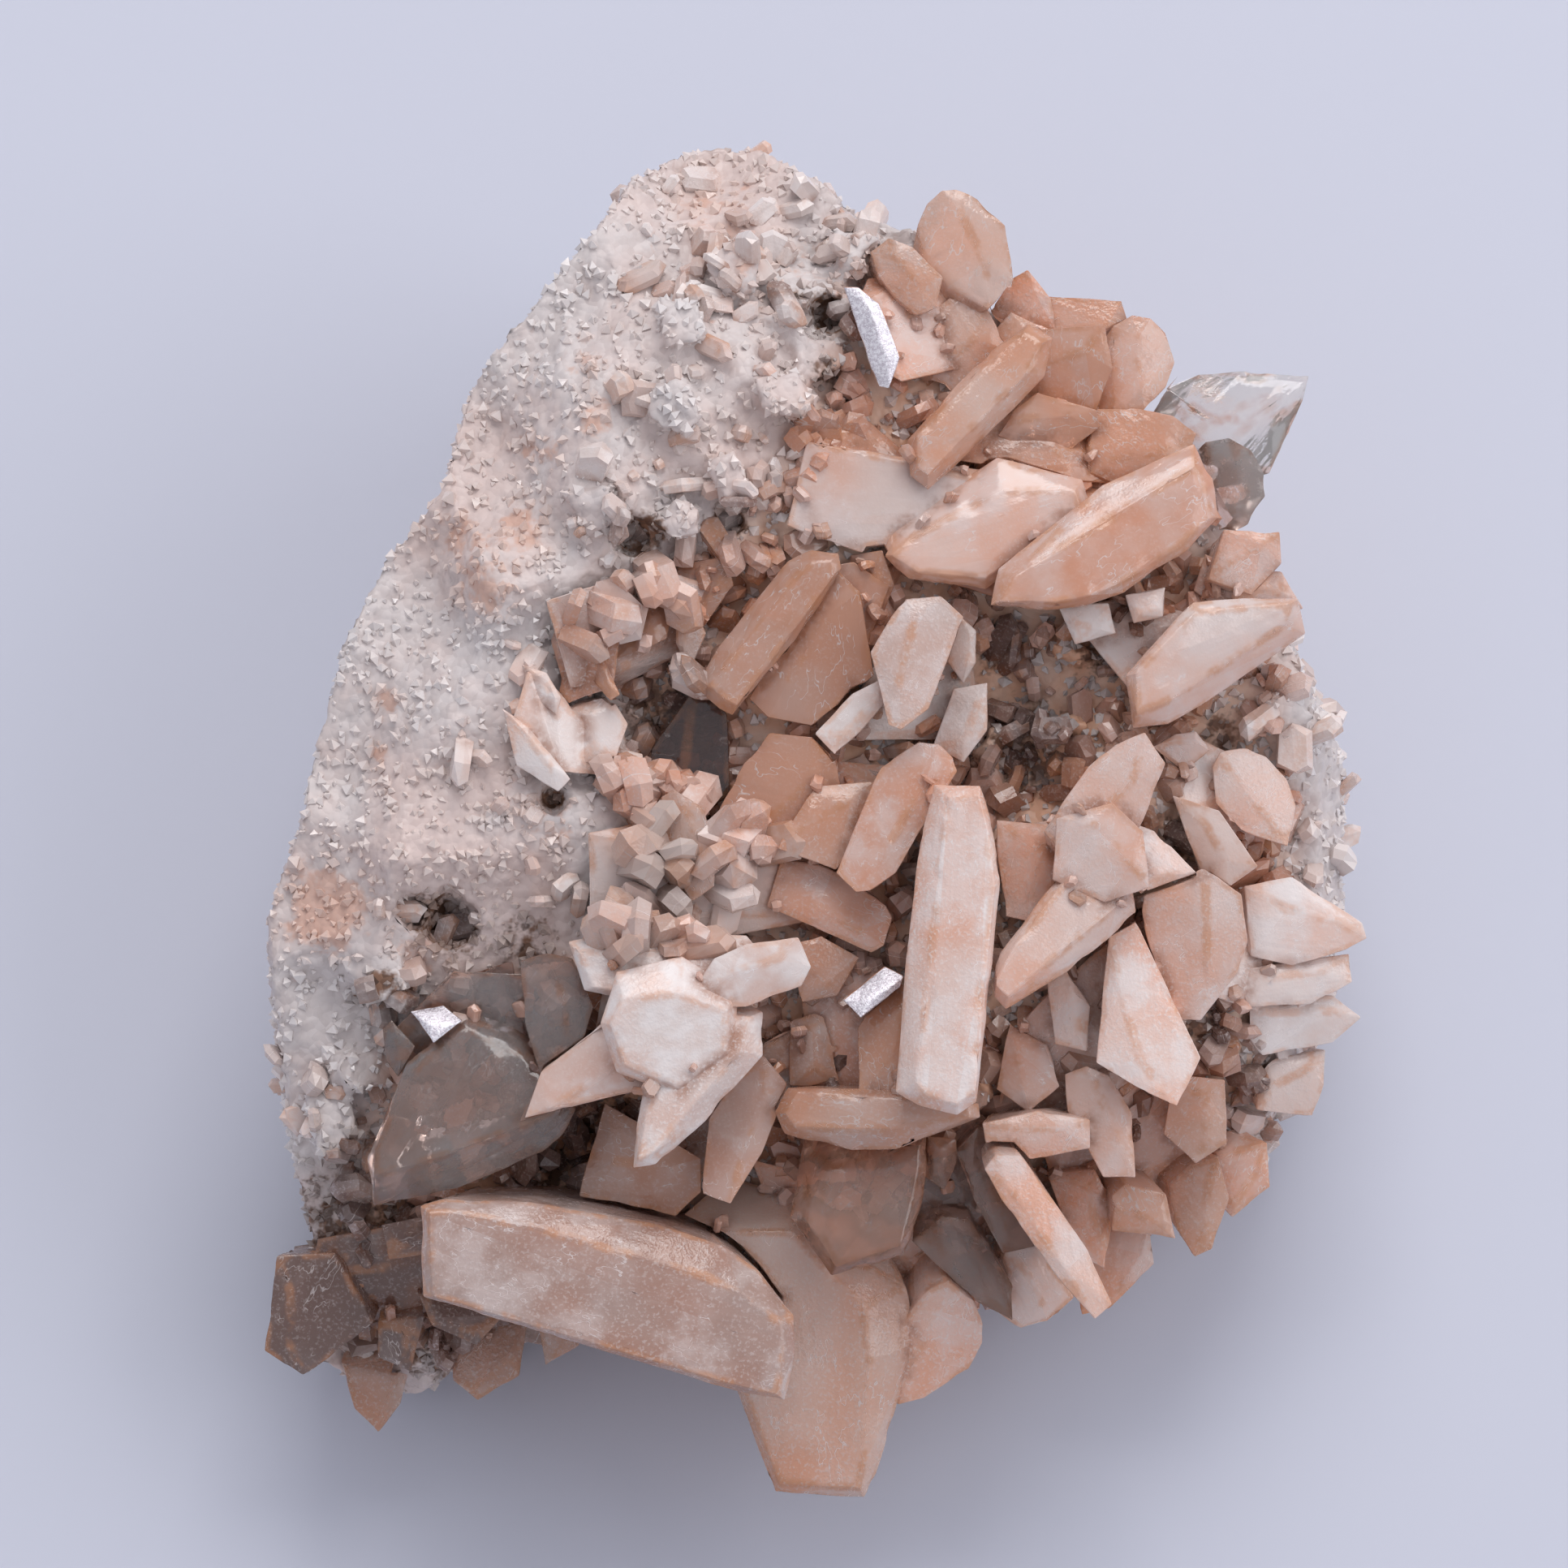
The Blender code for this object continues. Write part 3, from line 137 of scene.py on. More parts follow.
class Nodes:
    """Adds nodes to one tree, and links what it is given."""

    def __init__(self, tree):
        self.tree = tree

    def feed(self, node, inputs):
        """Links each socket to its input, and sets each plain value on the input itself."""
        for socket, value in inputs.items():
            if isinstance(value, bpy.types.NodeSocket):
                self.tree.links.new(value, node.inputs[socket])
            else:
                node.inputs[socket].default_value = value

    def add(self, kind, inputs=None, **settings):
        node = self.tree.nodes.new(kind)
        for setting, value in settings.items():
            setattr(node, setting, value)
        self.feed(node, inputs or {})
        return node

    def group(self, name, inputs):
        return self.add("ShaderNodeGroup", inputs, node_tree=bpy.data.node_groups[name]).outputs

    def number(self, operation, first, second=0.5, clamp=False):
        node = self.add("ShaderNodeMath", {0: first, 1: second}, operation=operation, use_clamp=clamp)
        return node.outputs[0]

    def times(self, first, second, clamp=False):
        return self.number("MULTIPLY", first, second, clamp)

    def plus(self, first, second, clamp=False):
        return self.number("ADD", first, second, clamp)

    def span(self, value, low, high, to_low=0.0, to_high=1.0):
        """The value carried from one range to another, smoothly."""
        node = self.add("ShaderNodeMapRange",
                        {"Value": value, "From Min": low, "From Max": high,
                         "To Min": to_low, "To Max": to_high},
                        interpolation_type="SMOOTHSTEP")
        return node.outputs["Result"]

    def blend(self, amount, first, second):
        """The first colour where the amount is 0, and the second where it is 1."""
        node = self.add("ShaderNodeMix", {"Factor": amount}, data_type="RGBA")
        self.feed(node, {6: rgba(first), 7: rgba(second)})
        return node.outputs[2]

    def noise(self, place, scale, detail=2.0, roughness=0.5):
        node = self.add("ShaderNodeTexNoise", {"Vector": place, "Scale": scale, "Detail": detail,
                                               "Roughness": roughness})
        return node.outputs["Fac"]

    def cells(self, place, scale):
        return self.add("ShaderNodeTexVoronoi", {"Vector": place, "Scale": scale}).outputs

    def bump(self, height, strength, depth):
        """The normal of a surface with this relief, its depth in millimetres."""
        node = self.add("ShaderNodeBump", {"Height": height, "Strength": strength, "Distance": depth * MM})
        return node.outputs["Normal"]

    def place(self):
        """Where a point lies in the specimen."""
        return self.add("ShaderNodeTexCoord").outputs["Object"]

    def along_blade(self, pitch):
        """Where a point lies along its blade and across it, in waves of this pitch per metre."""
        layout = self.add("ShaderNodeUVMap", uv_map="along the blade").outputs[0]
        return self.add("ShaderNodeMapping", {"Vector": layout, "Scale": (*pitch, 1)}).outputs[0]

    def measured(self, name):
        return self.add("ShaderNodeAttribute", attribute_name=name).outputs

    def channels(self, colour):
        """The three values that a colour carries."""
        return self.add("ShaderNodeSeparateColor", {"Color": colour}).outputs


def new_group(name, inputs, outputs):
    """A shader node group with named sockets: its node builder, what it is given and its result."""
    tree = bpy.data.node_groups.new(name, "ShaderNodeTree")
    for socket, value in inputs.items():
        made = tree.interface.new_socket(socket, in_out="INPUT", socket_type=SOCKET_KINDS[type(value)])
        made.default_value = rgba(value) if isinstance(value, tuple) else value
    for socket, kind in outputs.items():
        tree.interface.new_socket(socket, in_out="OUTPUT", socket_type=SOCKET_KINDS[kind])
    nodes = Nodes(tree)
    return nodes, nodes.add("NodeGroupInput").outputs, nodes.add("NodeGroupOutput")


def new_material(name):
    material = bpy.data.materials.new(name)
    material.use_nodes = True
    tree = material.node_tree
    return material, Nodes(tree), tree.nodes["Principled BSDF"]


# The materials of the crystals

CELESTITE_IOR = 1.62
# Smoke: the smoky brown of some crystals, and painted shade on the low sprays of the lower left.
SMOKE_AND_SHADE = (0.21, 0.125, 0.105)
IRON_STAIN = (0.76, 0.34, 0.16)
# Brown of the seams: partly earth, partly painted shade, its orange standing in for light glowing through
# them.
SEAM_EARTH_AND_SHADE = (0.40, 0.16, 0.08)
# Painted glint: bright silvery colours that stand in for light reflected off a cleavage face.
PAINTED_GLINT_TONES = ((0.62, 0.57, 0.62), (0.9, 0.88, 0.92))
# Waves per metre along a blade and across it: of its healed cracks, and of its growth lines.
CRACK_PITCH = (170, 330)
GROWTH_PITCH = (150, 1900)
CRACK_WIDTH = 0.011
# How much dust, frost, milk and stain change a crystal's face.
DUST_RELIEF = (0.03, 0.3)
DUST_COVER = 0.7
FROST_ROUGHNESS = 0.25
MILK_ROUGHNESS = 0.15
STAIN_ROUGHNESS = 0.1
# Each finish: its colour where it is clear, where it is tinted and where it is milky, how much
# light goes through, how rough it is, how much of a blade's milk it shows, and its edge stain.
FINISHES = {
    "glassy_celestite": dict(
        clear=(0.98, 0.84, 0.77), tinted=(0.97, 0.48, 0.30), milk=(0.94, 0.82, 0.78),
        transmission=0.42, roughness=0.02, milkiness=0.6, stain=0.6),
    "hazy_celestite": dict(
        clear=(0.96, 0.79, 0.72), tinted=(0.96, 0.45, 0.28), milk=(0.95, 0.82, 0.78),
        transmission=0.28, roughness=0.05, milkiness=0.75, stain=0.6),
    "cloudy_celestite": dict(
        clear=(0.95, 0.81, 0.75), tinted=(0.95, 0.51, 0.36), milk=(0.97, 0.89, 0.86),
        transmission=0.14, roughness=0.08, milkiness=0.85, stain=0.45),
    "clear_celestite_glass": dict(
        clear=(0.99, 0.96, 0.94), tinted=(0.97, 0.56, 0.41), milk=(0.95, 0.86, 0.83),
        transmission=0.8, roughness=0.02, milkiness=0.7, stain=0.6),
}
# Where each finish stands among the materials of a spray, and last the cleavage with a painted silver
# glint.
GLASSY, HAZY, CLOUDY, CLEAR, PAINTED_GLINT = range(5)


def stain_and_seam_shade_group():
    """Orange stain of iron that creeps along worn edges, and brown in the seams: partly earth, partly
    painted shade and glow.
    """
    nodes, given, result = new_group(
        "iron stain and seam shade",
        {"Colour": WHITE, "Stain": IRON_STAIN, "Seam earth and shade": SEAM_EARTH_AND_SHADE,
         "Edge width": 0.3, "Edge amount": 0.6, "Seam width": 1.1, "Seam amount": 0.75},
        {"Colour": tuple, "Edge": float})
    patches = nodes.noise(nodes.place(), scale=480, detail=3, roughness=0.62)
    ragged = nodes.times(patches, given["Edge width"])
    reach = nodes.number("SUBTRACT", nodes.measured("edge_reach")["Fac"], ragged)
    near = nodes.span(reach, given["Edge width"], 0.0)
    edge = nodes.times(near, nodes.span(patches, 0.42, 0.6))
    stained = nodes.blend(nodes.times(edge, given["Edge amount"]), given["Colour"], given["Stain"])
    # The seams: brown that is partly earth, partly painted shade and orange glow.
    seam_earth_and_shade = nodes.span(nodes.measured("seam_reach")["Fac"], given["Seam width"], 0.0)
    seam_earth_and_shade = nodes.times(seam_earth_and_shade, nodes.span(patches, 0.6, 0.38))
    stain_earth_and_shade = nodes.blend(nodes.times(seam_earth_and_shade, given["Seam amount"]), stained, given["Seam earth and shade"])
    nodes.feed(result, {"Colour": stain_earth_and_shade, "Edge": near})


def milky_veil_group():
    """Cloudy white zones and wisps inside a blade, and the thin white feathers of its healed cracks."""
    nodes, given, result = new_group(
        "milky veil",
        {"Colour": WHITE, "Milk": WHITE, "Amount": 0.5, "Feathers": 0.9},
        {"Colour": tuple, "Veil": float})
    clouds = nodes.noise(nodes.place(), scale=260, detail=3, roughness=0.65)
    level = nodes.times(nodes.span(clouds, 0.38, 0.66, 0.0, 1.2), given["Amount"], clamp=True)
    crack = nodes.noise(nodes.along_blade(CRACK_PITCH), scale=1.7, detail=3, roughness=0.6)
    line = nodes.span(nodes.number("ABSOLUTE", nodes.number("SUBTRACT", crack, 0.5)), CRACK_WIDTH, 0.0)
    line = nodes.times(line, nodes.span(clouds, 0.46, 0.56))
    level = nodes.number("MAXIMUM", level, nodes.times(line, given["Feathers"]))
    nodes.feed(result, {"Colour": nodes.blend(level, given["Colour"], given["Milk"]), "Veil": level})


def growth_relief_group():
    """Height of a crystal face: growth lines along the blade, and fine dust."""
    nodes, given, result = new_group(
        "growth relief", {"Lines": 0.22, "Dust": 0.3}, {"Height": float, "Dust": float})
    lines = nodes.noise(nodes.along_blade(GROWTH_PITCH), scale=1.0, detail=1)
    dust = nodes.noise(nodes.place(), scale=4600, detail=1, roughness=0.7)
    height = nodes.plus(nodes.times(lines, given["Lines"]), nodes.times(dust, given["Dust"]))
    nodes.feed(result, {"Height": height, "Dust": dust})


def crystal_material(name, clear, tinted, milk, transmission, roughness, milkiness, stain):
    """Celestite: a clear body colour, tinted and smoked blade by blade, under milk, frost, orange edge
    stain and brown seams, the seams partly painted shade.
    """
    material, nodes, shader = new_material(name)
    look = nodes.measured("blade_look")
    tint, milky, frost = nodes.channels(look["Color"])
    uneven = nodes.span(nodes.noise(nodes.place(), scale=160, detail=1), 0.3, 0.7, -0.3, 0.3)
    body = nodes.blend(nodes.plus(tint, uneven, clamp=True), clear, tinted)
    # Smoke darkens the body: the crystals' own smoky brown, and painted shade on the low sprays of the
    # lower left.
    body = nodes.blend(look["Alpha"], body, SMOKE_AND_SHADE)
    veil = nodes.group("milky veil", {"Colour": body, "Milk": rgba(milk),
                                      "Amount": nodes.times(milky, milkiness)})
    # Orange stain along the edges, and the seams painted brown, partly as shade.
    stained = nodes.group("iron stain and seam shade", {"Colour": veil["Colour"], "Edge amount": stain})
    relief = nodes.group("growth relief", {"Dust": nodes.span(frost, 0.0, 1.0, *DUST_RELIEF)})
    dusty = nodes.times(nodes.span(relief["Dust"], 0.5, 0.72), frost)
    dusted = nodes.blend(nodes.times(dusty, DUST_COVER), stained["Colour"], milk)
    rough = nodes.times(frost, FROST_ROUGHNESS)
    rough = nodes.plus(rough, nodes.times(veil["Veil"], MILK_ROUGHNESS))
    rough = nodes.plus(rough, nodes.times(stained["Edge"], STAIN_ROUGHNESS))
    rough = nodes.plus(rough, roughness, clamp=True)
    nodes.feed(shader, {"Base Color": dusted, "Roughness": rough, "IOR": CELESTITE_IOR,
                        "Normal": nodes.bump(relief["Height"], strength=0.5, depth=0.3),
                        "Metallic": 0.0, "Transmission Weight": transmission})
    return material


def painted_glint_material():
    """A cleavage face with a painted glint: bright silvery frost whose colour stands in for the light it
    reflects.
    """
    material, nodes, shader = new_material("painted_glint_cleavage")
    # Painted glint: the mottled silver colour stands in for light reflected towards the eye.
    painted_glint_mottle = nodes.noise(nodes.place(), scale=5200, detail=3, roughness=0.75)
    nodes.feed(shader, {"Base Color": nodes.blend(nodes.span(painted_glint_mottle, 0.4, 0.65), *PAINTED_GLINT_TONES),
                        "Roughness": nodes.span(painted_glint_mottle, 0.3, 0.7, 0.2, 0.42),
                        "Normal": nodes.bump(painted_glint_mottle, strength=0.6, depth=0.08),
                        "Metallic": 0.55, "IOR": CELESTITE_IOR})
    return material


# The materials of the rock

ROCK_TONES = ((0.62, 0.55, 0.53), (0.72, 0.65, 0.63))
WARM_ROCK = (0.72, 0.53, 0.47)
PEACH_TONES = ((0.74, 0.40, 0.24), (0.80, 0.56, 0.43))
ROCK_RUST = (0.66, 0.34, 0.22)
SOIL_TONES = ((0.08, 0.04, 0.025), (0.30, 0.16, 0.10))
GRAIN_TONES = ((0.76, 0.70, 0.68), (0.74, 0.57, 0.50))
GRAIN_RUST = (0.70, 0.36, 0.22)
GRAIN_EARTH = (0.16, 0.09, 0.06)
# How much of the warm, peach, rusty and earthy colours shows where each is strongest.
WARM_AMOUNT = 0.6
PEACH_AMOUNT = 0.9
RUST_AMOUNT = 0.6
GRAIN_RUST_AMOUNT = 0.5
GRAIN_EARTH_AMOUNT = 0.85


def stone_material():
    """Granular white rock: sugary grains, iron stain, brown spots and earth in the hollows."""
    material, nodes, shader = new_material("sugary_matrix")
    place = nodes.place()
    stain, earth, bed = nodes.channels(nodes.measured("rock_marks")["Color"])
    grains = nodes.cells(place, scale=1900)
    lumps = nodes.cells(place, scale=620)
    grain_tone = nodes.channels(grains["Color"])[0]
    colour = nodes.blend(grain_tone, *ROCK_TONES)
    warm = nodes.span(nodes.noise(place, scale=85, detail=4, roughness=0.62), 0.40, 0.62)
    colour = nodes.blend(nodes.times(warm, WARM_AMOUNT), colour, WARM_ROCK)
    peachy = nodes.span(nodes.noise(place, scale=260, detail=2, roughness=0.6), 0.35, 0.65)
    colour = nodes.blend(nodes.times(bed, PEACH_AMOUNT), colour, nodes.blend(peachy, *PEACH_TONES))
    rusty = nodes.plus(nodes.noise(place, scale=520, detail=3, roughness=0.65), nodes.times(stain, 0.4))
    colour = nodes.blend(nodes.times(nodes.span(rusty, 0.66, 0.86), RUST_AMOUNT), colour, ROCK_RUST)
    broken = nodes.plus(nodes.noise(place, scale=700, detail=3, roughness=0.72), nodes.times(earth, 0.45))
    colour = nodes.blend(nodes.span(broken, 0.7, 0.92), colour, nodes.blend(grain_tone, *SOIL_TONES))
    height = nodes.times(nodes.number("SUBTRACT", 1.0, grains["Distance"]), 0.6)
    height = nodes.plus(height, nodes.times(lumps["Distance"], -0.6))
    nodes.feed(shader, {"Base Color": colour, "Roughness": nodes.span(grain_tone, 0.0, 1.0, 0.3, 0.6),
                        "Normal": nodes.bump(height, strength=0.4, depth=0.3)})
    return material


def grain_material():
    """Loose glassy grains of the matrix."""
    material, nodes, shader = new_material("glassy_grains")
    place = nodes.place()
    stain, earth, _ = nodes.channels(nodes.measured("rock_marks")["Color"])
    warm = nodes.span(nodes.noise(place, scale=85, detail=3, roughness=0.6), 0.4, 0.62)
    colour = nodes.blend(nodes.times(warm, WARM_AMOUNT), *GRAIN_TONES)
    colour = nodes.blend(nodes.times(stain, GRAIN_RUST_AMOUNT), colour, GRAIN_RUST)
    colour = nodes.blend(nodes.times(earth, GRAIN_EARTH_AMOUNT), colour, GRAIN_EARTH)
    dust = nodes.noise(place, scale=2600, detail=0)
    nodes.feed(shader, {"Base Color": colour, "Roughness": nodes.span(dust, 0.3, 0.7, 0.15, 0.6),
                        "IOR": CELESTITE_IOR, "Metallic": 0.0})
    return material


# How the sprays look: tint from white to deep orange, then milk, frost and smoke, which on the low sprays
# of the lower left is painted shade

PLAIN_LOOK = (0.55, 0.35, 0.45, 0.0)
SPRAY_LOOKS = {
    "central_prism": (0.55, 0.50, 0.75, 0.05),
    # The slab's smoke is painted shade: it darkens the slab as light falls off towards the bottom and the
    # left.
    "bottom_slab": (0.52, 0.36, 0.40, 0.60),
    "white_burst": (0.30, 0.75, 0.50, 0.18),
    "starfish": (0.50, 0.60, 0.45, 0.0),
    "smoky_plate": (0.70, 0.00, 0.05, 1.0),
    "clear_wedge": (0.50, 0.12, 0.15, 0.34),
    "frosted_prism": (0.20, 0.70, 0.60, 0.22),
    "long_blade": (1.0, 0.15, 0.25, 0.27),
    "centre_fan": (0.75, 0.40, 0.45, 0.12),
    "left_centre_group": (0.72, 0.36, 0.42, 0.08),
    "horizontal_bar": (0.90, 0.20, 0.30, 0.15),
    "glassy_hexagon": (1.0, 0.15, 0.15, 0.05),
    "white_finger": (0.45, 0.60, 0.50, 0.0),
    "hexagonal_group": (0.60, 0.50, 0.50, 0.0),
    "right_blades": (0.50, 0.50, 0.45, 0.0),
    "milky_parallelogram": (0.35, 0.75, 0.45, 0.0),
    "upper_right_blocks": (0.40, 0.50, 0.45, 0.0),
    "striated_blade": (1.0, 0.22, 0.25, 0.16),
    "orange_fan": (1.0, 0.03, 0.28, 0.05),
    "right_wedge": (0.25, 0.15, 0.20, 0.0),
    "top_spray": (0.82, 0.30, 0.45, 0.0),
    "upper_edge_blades": (1.0, 0.22, 0.45, 0.0),
    "brown_blades": (0.80, 0.25, 0.40, 0.24),
    "white_rind_blades": (0.15, 0.80, 0.40, 0.0),
    "grey_plates": (0.50, 0.20, 0.30, 0.32),
    "frayed_blade": (0.75, 0.35, 0.50, 0.05),
    "lower_right_group": (0.70, 0.35, 0.45, 0.05),
    "right_rim_burst": (0.08, 0.85, 0.50, 0.0),
    "right_rim_block": (0.20, 0.75, 0.50, 0.0),
    # Painted shade: the smoke of these low sprays on the lower left is partly their own brown, partly the
    # shade they lie in.
    "lower_left_points": (0.70, 0.15, 0.35, 0.88),
    "lowest_point": (0.95, 0.20, 0.50, 0.30),
    "lower_edge_point": (0.90, 0.20, 0.50, 0.35),
    "lower_edge_block": (0.85, 0.25, 0.50, 0.25),
}
# Blades whose cleavage gets a painted silver glint: a point on the front of each.
PAINTED_GLINT_BLADES = {
    "top_spray": [(3.8, 29.0)],
    "horizontal_bar": [(4.0, -11.0)],
    "clear_wedge": [(-23.0, -12.9)],
}
# Blades that differ from the rest of their spray: a point on the front of each, and its own look.
BLADE_LOOKS = {
    "striated_blade": {(1.0, 21.0): (0.30, 0.70, 0.45, 0.12), (10.0, 17.5): (0.50, 0.55, 0.30, 0.0)},
    "left_centre_group": {(-10.0, -4.0): (0.45, 0.60, 0.50, 0.0)},
    "centre_fan": {(-2.0, 3.0): (0.95, 0.15, 0.30, 0.15)},
    "brown_blades": {(-12.0, 13.0): (0.30, 0.50, 0.45, 0.15)},
    "lower_right_group": {(22.0, -22.0): (0.50, 0.50, 0.45, 0.0)},
}
# How far a blade's look may stray from its spray's, and the tint, milk and frost of a facet from
# its blade's.
BLADE_STRAY = ((-0.16, 0.16), (-0.2, 0.2), (-0.2, 0.2), (-0.05, 0.08))
FACET_STRAY = ((-0.08, 0.08), (-0.2, 0.25), (-0.15, 0.15))
# A facet that turns less than this towards the eye gets no painted glint.
PAINTED_GLINT_TURN = 0.55
# Up to this much milk a blade is glassy; from that much it is cloudy all through.
GLASSY_MILK = 0.3
CLOUDY_MILK = 0.6
# Sprays that can be seen through.
CLEAR_SPRAYS = {"smoky_plate", "clear_wedge", "right_wedge", "glassy_hexagon"}


def kind_by_milk(milk):
    return np.where(milk < GLASSY_MILK, GLASSY, np.where(milk > CLOUDY_MILK, CLOUDY, HAZY))


def strays(chance, ranges):
    return [chance.uniform(*ends) for ends in ranges]


def shifted(look, shift):
    """A look with each value moved, and kept from 0 to 1."""
    return [min(1.0, max(0.0, value + change)) for value, change in zip(look, shift)]


def blade_looks(name, shape, facet, blade, count, blades_with_painted_glint, singled):
    """Tint, milk, frost and smoke, partly painted shade, of every face, uneven from blade to blade, and
    its finish, some a painted glint.
    """
    chance = random.Random(name)
    base = SPRAY_LOOKS.get(name, PLAIN_LOOK)
    blades = [shifted(singled.get(number, base), strays(chance, BLADE_STRAY)) for number in range(count)]
    facet_shifts = {}
    looks = []
    milk = []
    painted_glint_faces = []
    for face in shape.faces:
        number = face[facet]
        if number not in facet_shifts:
            facet_shifts[number] = [*strays(chance, FACET_STRAY), 0.0]
        own = blades[face[blade]]
        looks.append(shifted(own, facet_shifts[number]))
        milk.append(own[1])
        # The listed blades' facets that face the eye get the painted glint.
        painted_glint_faces.append(face[blade] in blades_with_painted_glint and face.normal.dot(EYE) > PAINTED_GLINT_TURN)
    kinds = CLEAR if name in CLEAR_SPRAYS else kind_by_milk(np.array(milk))
    return looks, np.where(painted_glint_faces, PAINTED_GLINT, kinds)


# The crystals

# The longest edge left on a facet, and how much of an edge is worn off, in millimetres.
CRYSTAL_DETAIL = 0.55
WORN_EDGE = 0.06
SPLIT_ROUNDS = 8
# Points closer than this are one, and faces that bend less than FLAT_ANGLE are one facet.
WELD_WITHIN = 0.002
FLAT_ANGLE = math.radians(1)
# An edge that bends more than SHARP_ANGLE is a ridge or a seam, and one over CRISP_ANGLE looks crisp.
SHARP_ANGLE = math.radians(14)
CRISP_ANGLE = math.radians(9)
# A blade ends at a seam that bends more than this.
SEAM_BEND = math.radians(2)
# A facet is on the front when it turns more than this towards the eye.
FRONT_TURN = 0.35
# How far apart points are read along ridges and seams, and the reach where there is none.
EDGE_STEP = 0.3
FAR = 9.0
# The faint swell of the facets: waves per millimetre and their height.
SWELL_WAVES = ((0.5, 0.05), (1.7, 0.02))
# Wear along the ridges: how far it reaches, how deep it goes everywhere and in a chip, and where
# the chips are.
WEAR_REACH = 0.7
WEAR_DEPTH = 0.02
CHIP_DEPTH = 0.3
CHIP_WAVE = 0.6
CHIP_START = 0.15
CHIP_SHIFT = Vector((7, 3, 1))
# A blade that points more steeply out of a facet than this doesn't say which way its lines run.
LEAST_RUN = 0.2
# Height above the face from which its blades are looked up.
ABOVE_FACE = 40


def reach_to(points, places):
    """Distance in millimetres from each point to the nearest of the places."""
    if not places:
        return np.full(len(points), FAR)
    tree = KDTree(len(places))
    for index, spot in enumerate(places):
        tree.insert(spot, index)
    tree.balance()
    return np.array([tree.find(point)[2] for point in points]) / MM


def along_edges(edges):
    """Points all along these edges."""
    spots = []
    for edge in edges:
        first, second = edge.verts[0].co, edge.verts[1].co
        count = max(1, int(edge.calc_length() / (EDGE_STEP * MM)))
        spots += [first.lerp(second, index / count) for index in range(count + 1)]
    return spots


def bend_of(edge):
    """How far an edge turns: positive on a ridge, negative in a seam."""
    return edge.calc_face_angle_signed(0.0)


def in_front(face):
    return face.normal.dot(EYE) > FRONT_TURN


def anywhere(face):
    return True


def over_ridges(face):
    """The faces that meet this one, but not across a seam."""
    for edge in face.edges:
        if len(edge.link_faces) == 2 and bend_of(edge) > -SEAM_BEND:
            yield from edge.link_faces


def spread_blade(seeds, blade, may_enter):
    """Gives each face the blade number of the numbered one it is reached from, where it may enter."""
    front = list(seeds)
    for face in front:
        for other in over_ridges(face):
            if other[blade] < 0 and may_enter(other):
                other[blade] = face[blade]
                front.append(other)


def mark_blades(shape):
    """Numbers the facets and the blades they belong to: first what faces the eye, then what is left."""
    facet = shape.faces.layers.int.new("facet")
    blade = shape.faces.layers.int.new("blade")
    for index, face in enumerate(shape.faces):
        face[facet] = index
        face[blade] = -1
    count = 0
    front = [face for face in shape.faces if in_front(face)]
    for seeds, may_enter in ((front, in_front), (shape.faces, anywhere)):
        for seed in seeds:
            if seed[blade] < 0:
                seed[blade] = count
                spread_blade([seed], blade, may_enter)
                count += 1
        spread_blade(front, blade, anywhere)
    return facet, blade, count


def blade_axes(shape, blade, count):
    """The long axis of each blade, from the spread of its edges."""
    spreads = np.zeros((count, 3, 3))
    for face in shape.faces:
        for edge in face.edges:
            run = np.array(edge.verts[1].co - edge.verts[0].co)
            spreads[face[blade]] += np.outer(run, run) * np.linalg.norm(run)
    return [Vector(np.linalg.eigh(spread)[1][:, 2]) for spread in spreads]


def blades_at(spots, shape, blade):
    """The blade that lies at each of these places, looking straight down at the face."""
    tree = BVHTree.FromBMesh(shape)
    shape.faces.ensure_lookup_table()
    found = []
    for x, y in spots:
        index = tree.ray_cast(to_world(x, y, ABOVE_FACE), -EYE)[2]
        found.append(-1 if index is None else shape.faces[index][blade])
    return found


def split_long_edges(shape, longest):
    for _ in range(SPLIT_ROUNDS):
        long_edges = [edge for edge in shape.edges if edge.calc_length() > longest]
        if not long_edges:
            return
        bmesh.ops.subdivide_edges(shape, edges=long_edges, cuts=1)
        bmesh.ops.triangulate(shape, faces=[face for face in shape.faces if len(face.verts) > 3])


def wear(shape, edge_reach, low, high):
    """Gives the flat facets a faint swell, and nibbles their edges."""
    shape.normal_update()
    moved = []
    for vertex, reach in zip(shape.verts, edge_reach):
        spot = vertex.co / MM
        swell = sum(noise.noise(spot * wave) * height for wave, height in SWELL_WAVES)
        chip = max(0.0, noise.noise(spot * CHIP_WAVE + CHIP_SHIFT) - CHIP_START)
        worn = max(0.0, 1 - reach / WEAR_REACH)
        moved.append(vertex.co + vertex.normal * MM * (swell - worn * (WEAR_DEPTH + CHIP_DEPTH * chip)))
    for vertex, spot in zip(shape.verts, moved):
        vertex.co = [min(max(value, least), most) for value, least, most in zip(spot, low, high)]


def lay_along(shape, blade, axes):
    """Lays each facet out flat, with its first coordinate along the blade."""
    layout = shape.loops.layers.uv.new("along the blade")
    for face in shape.faces:
        normal = face.normal
        axis = axes[face[blade]]
        run = axis - normal * axis.dot(normal)
        if run.length < LEAST_RUN:
            run = normal.orthogonal()
        run.normalize()
        across = normal.cross(run)
        for loop in face.loops:
            loop[layout].uv = (loop.vert.co.dot(run), loop.vert.co.dot(across))


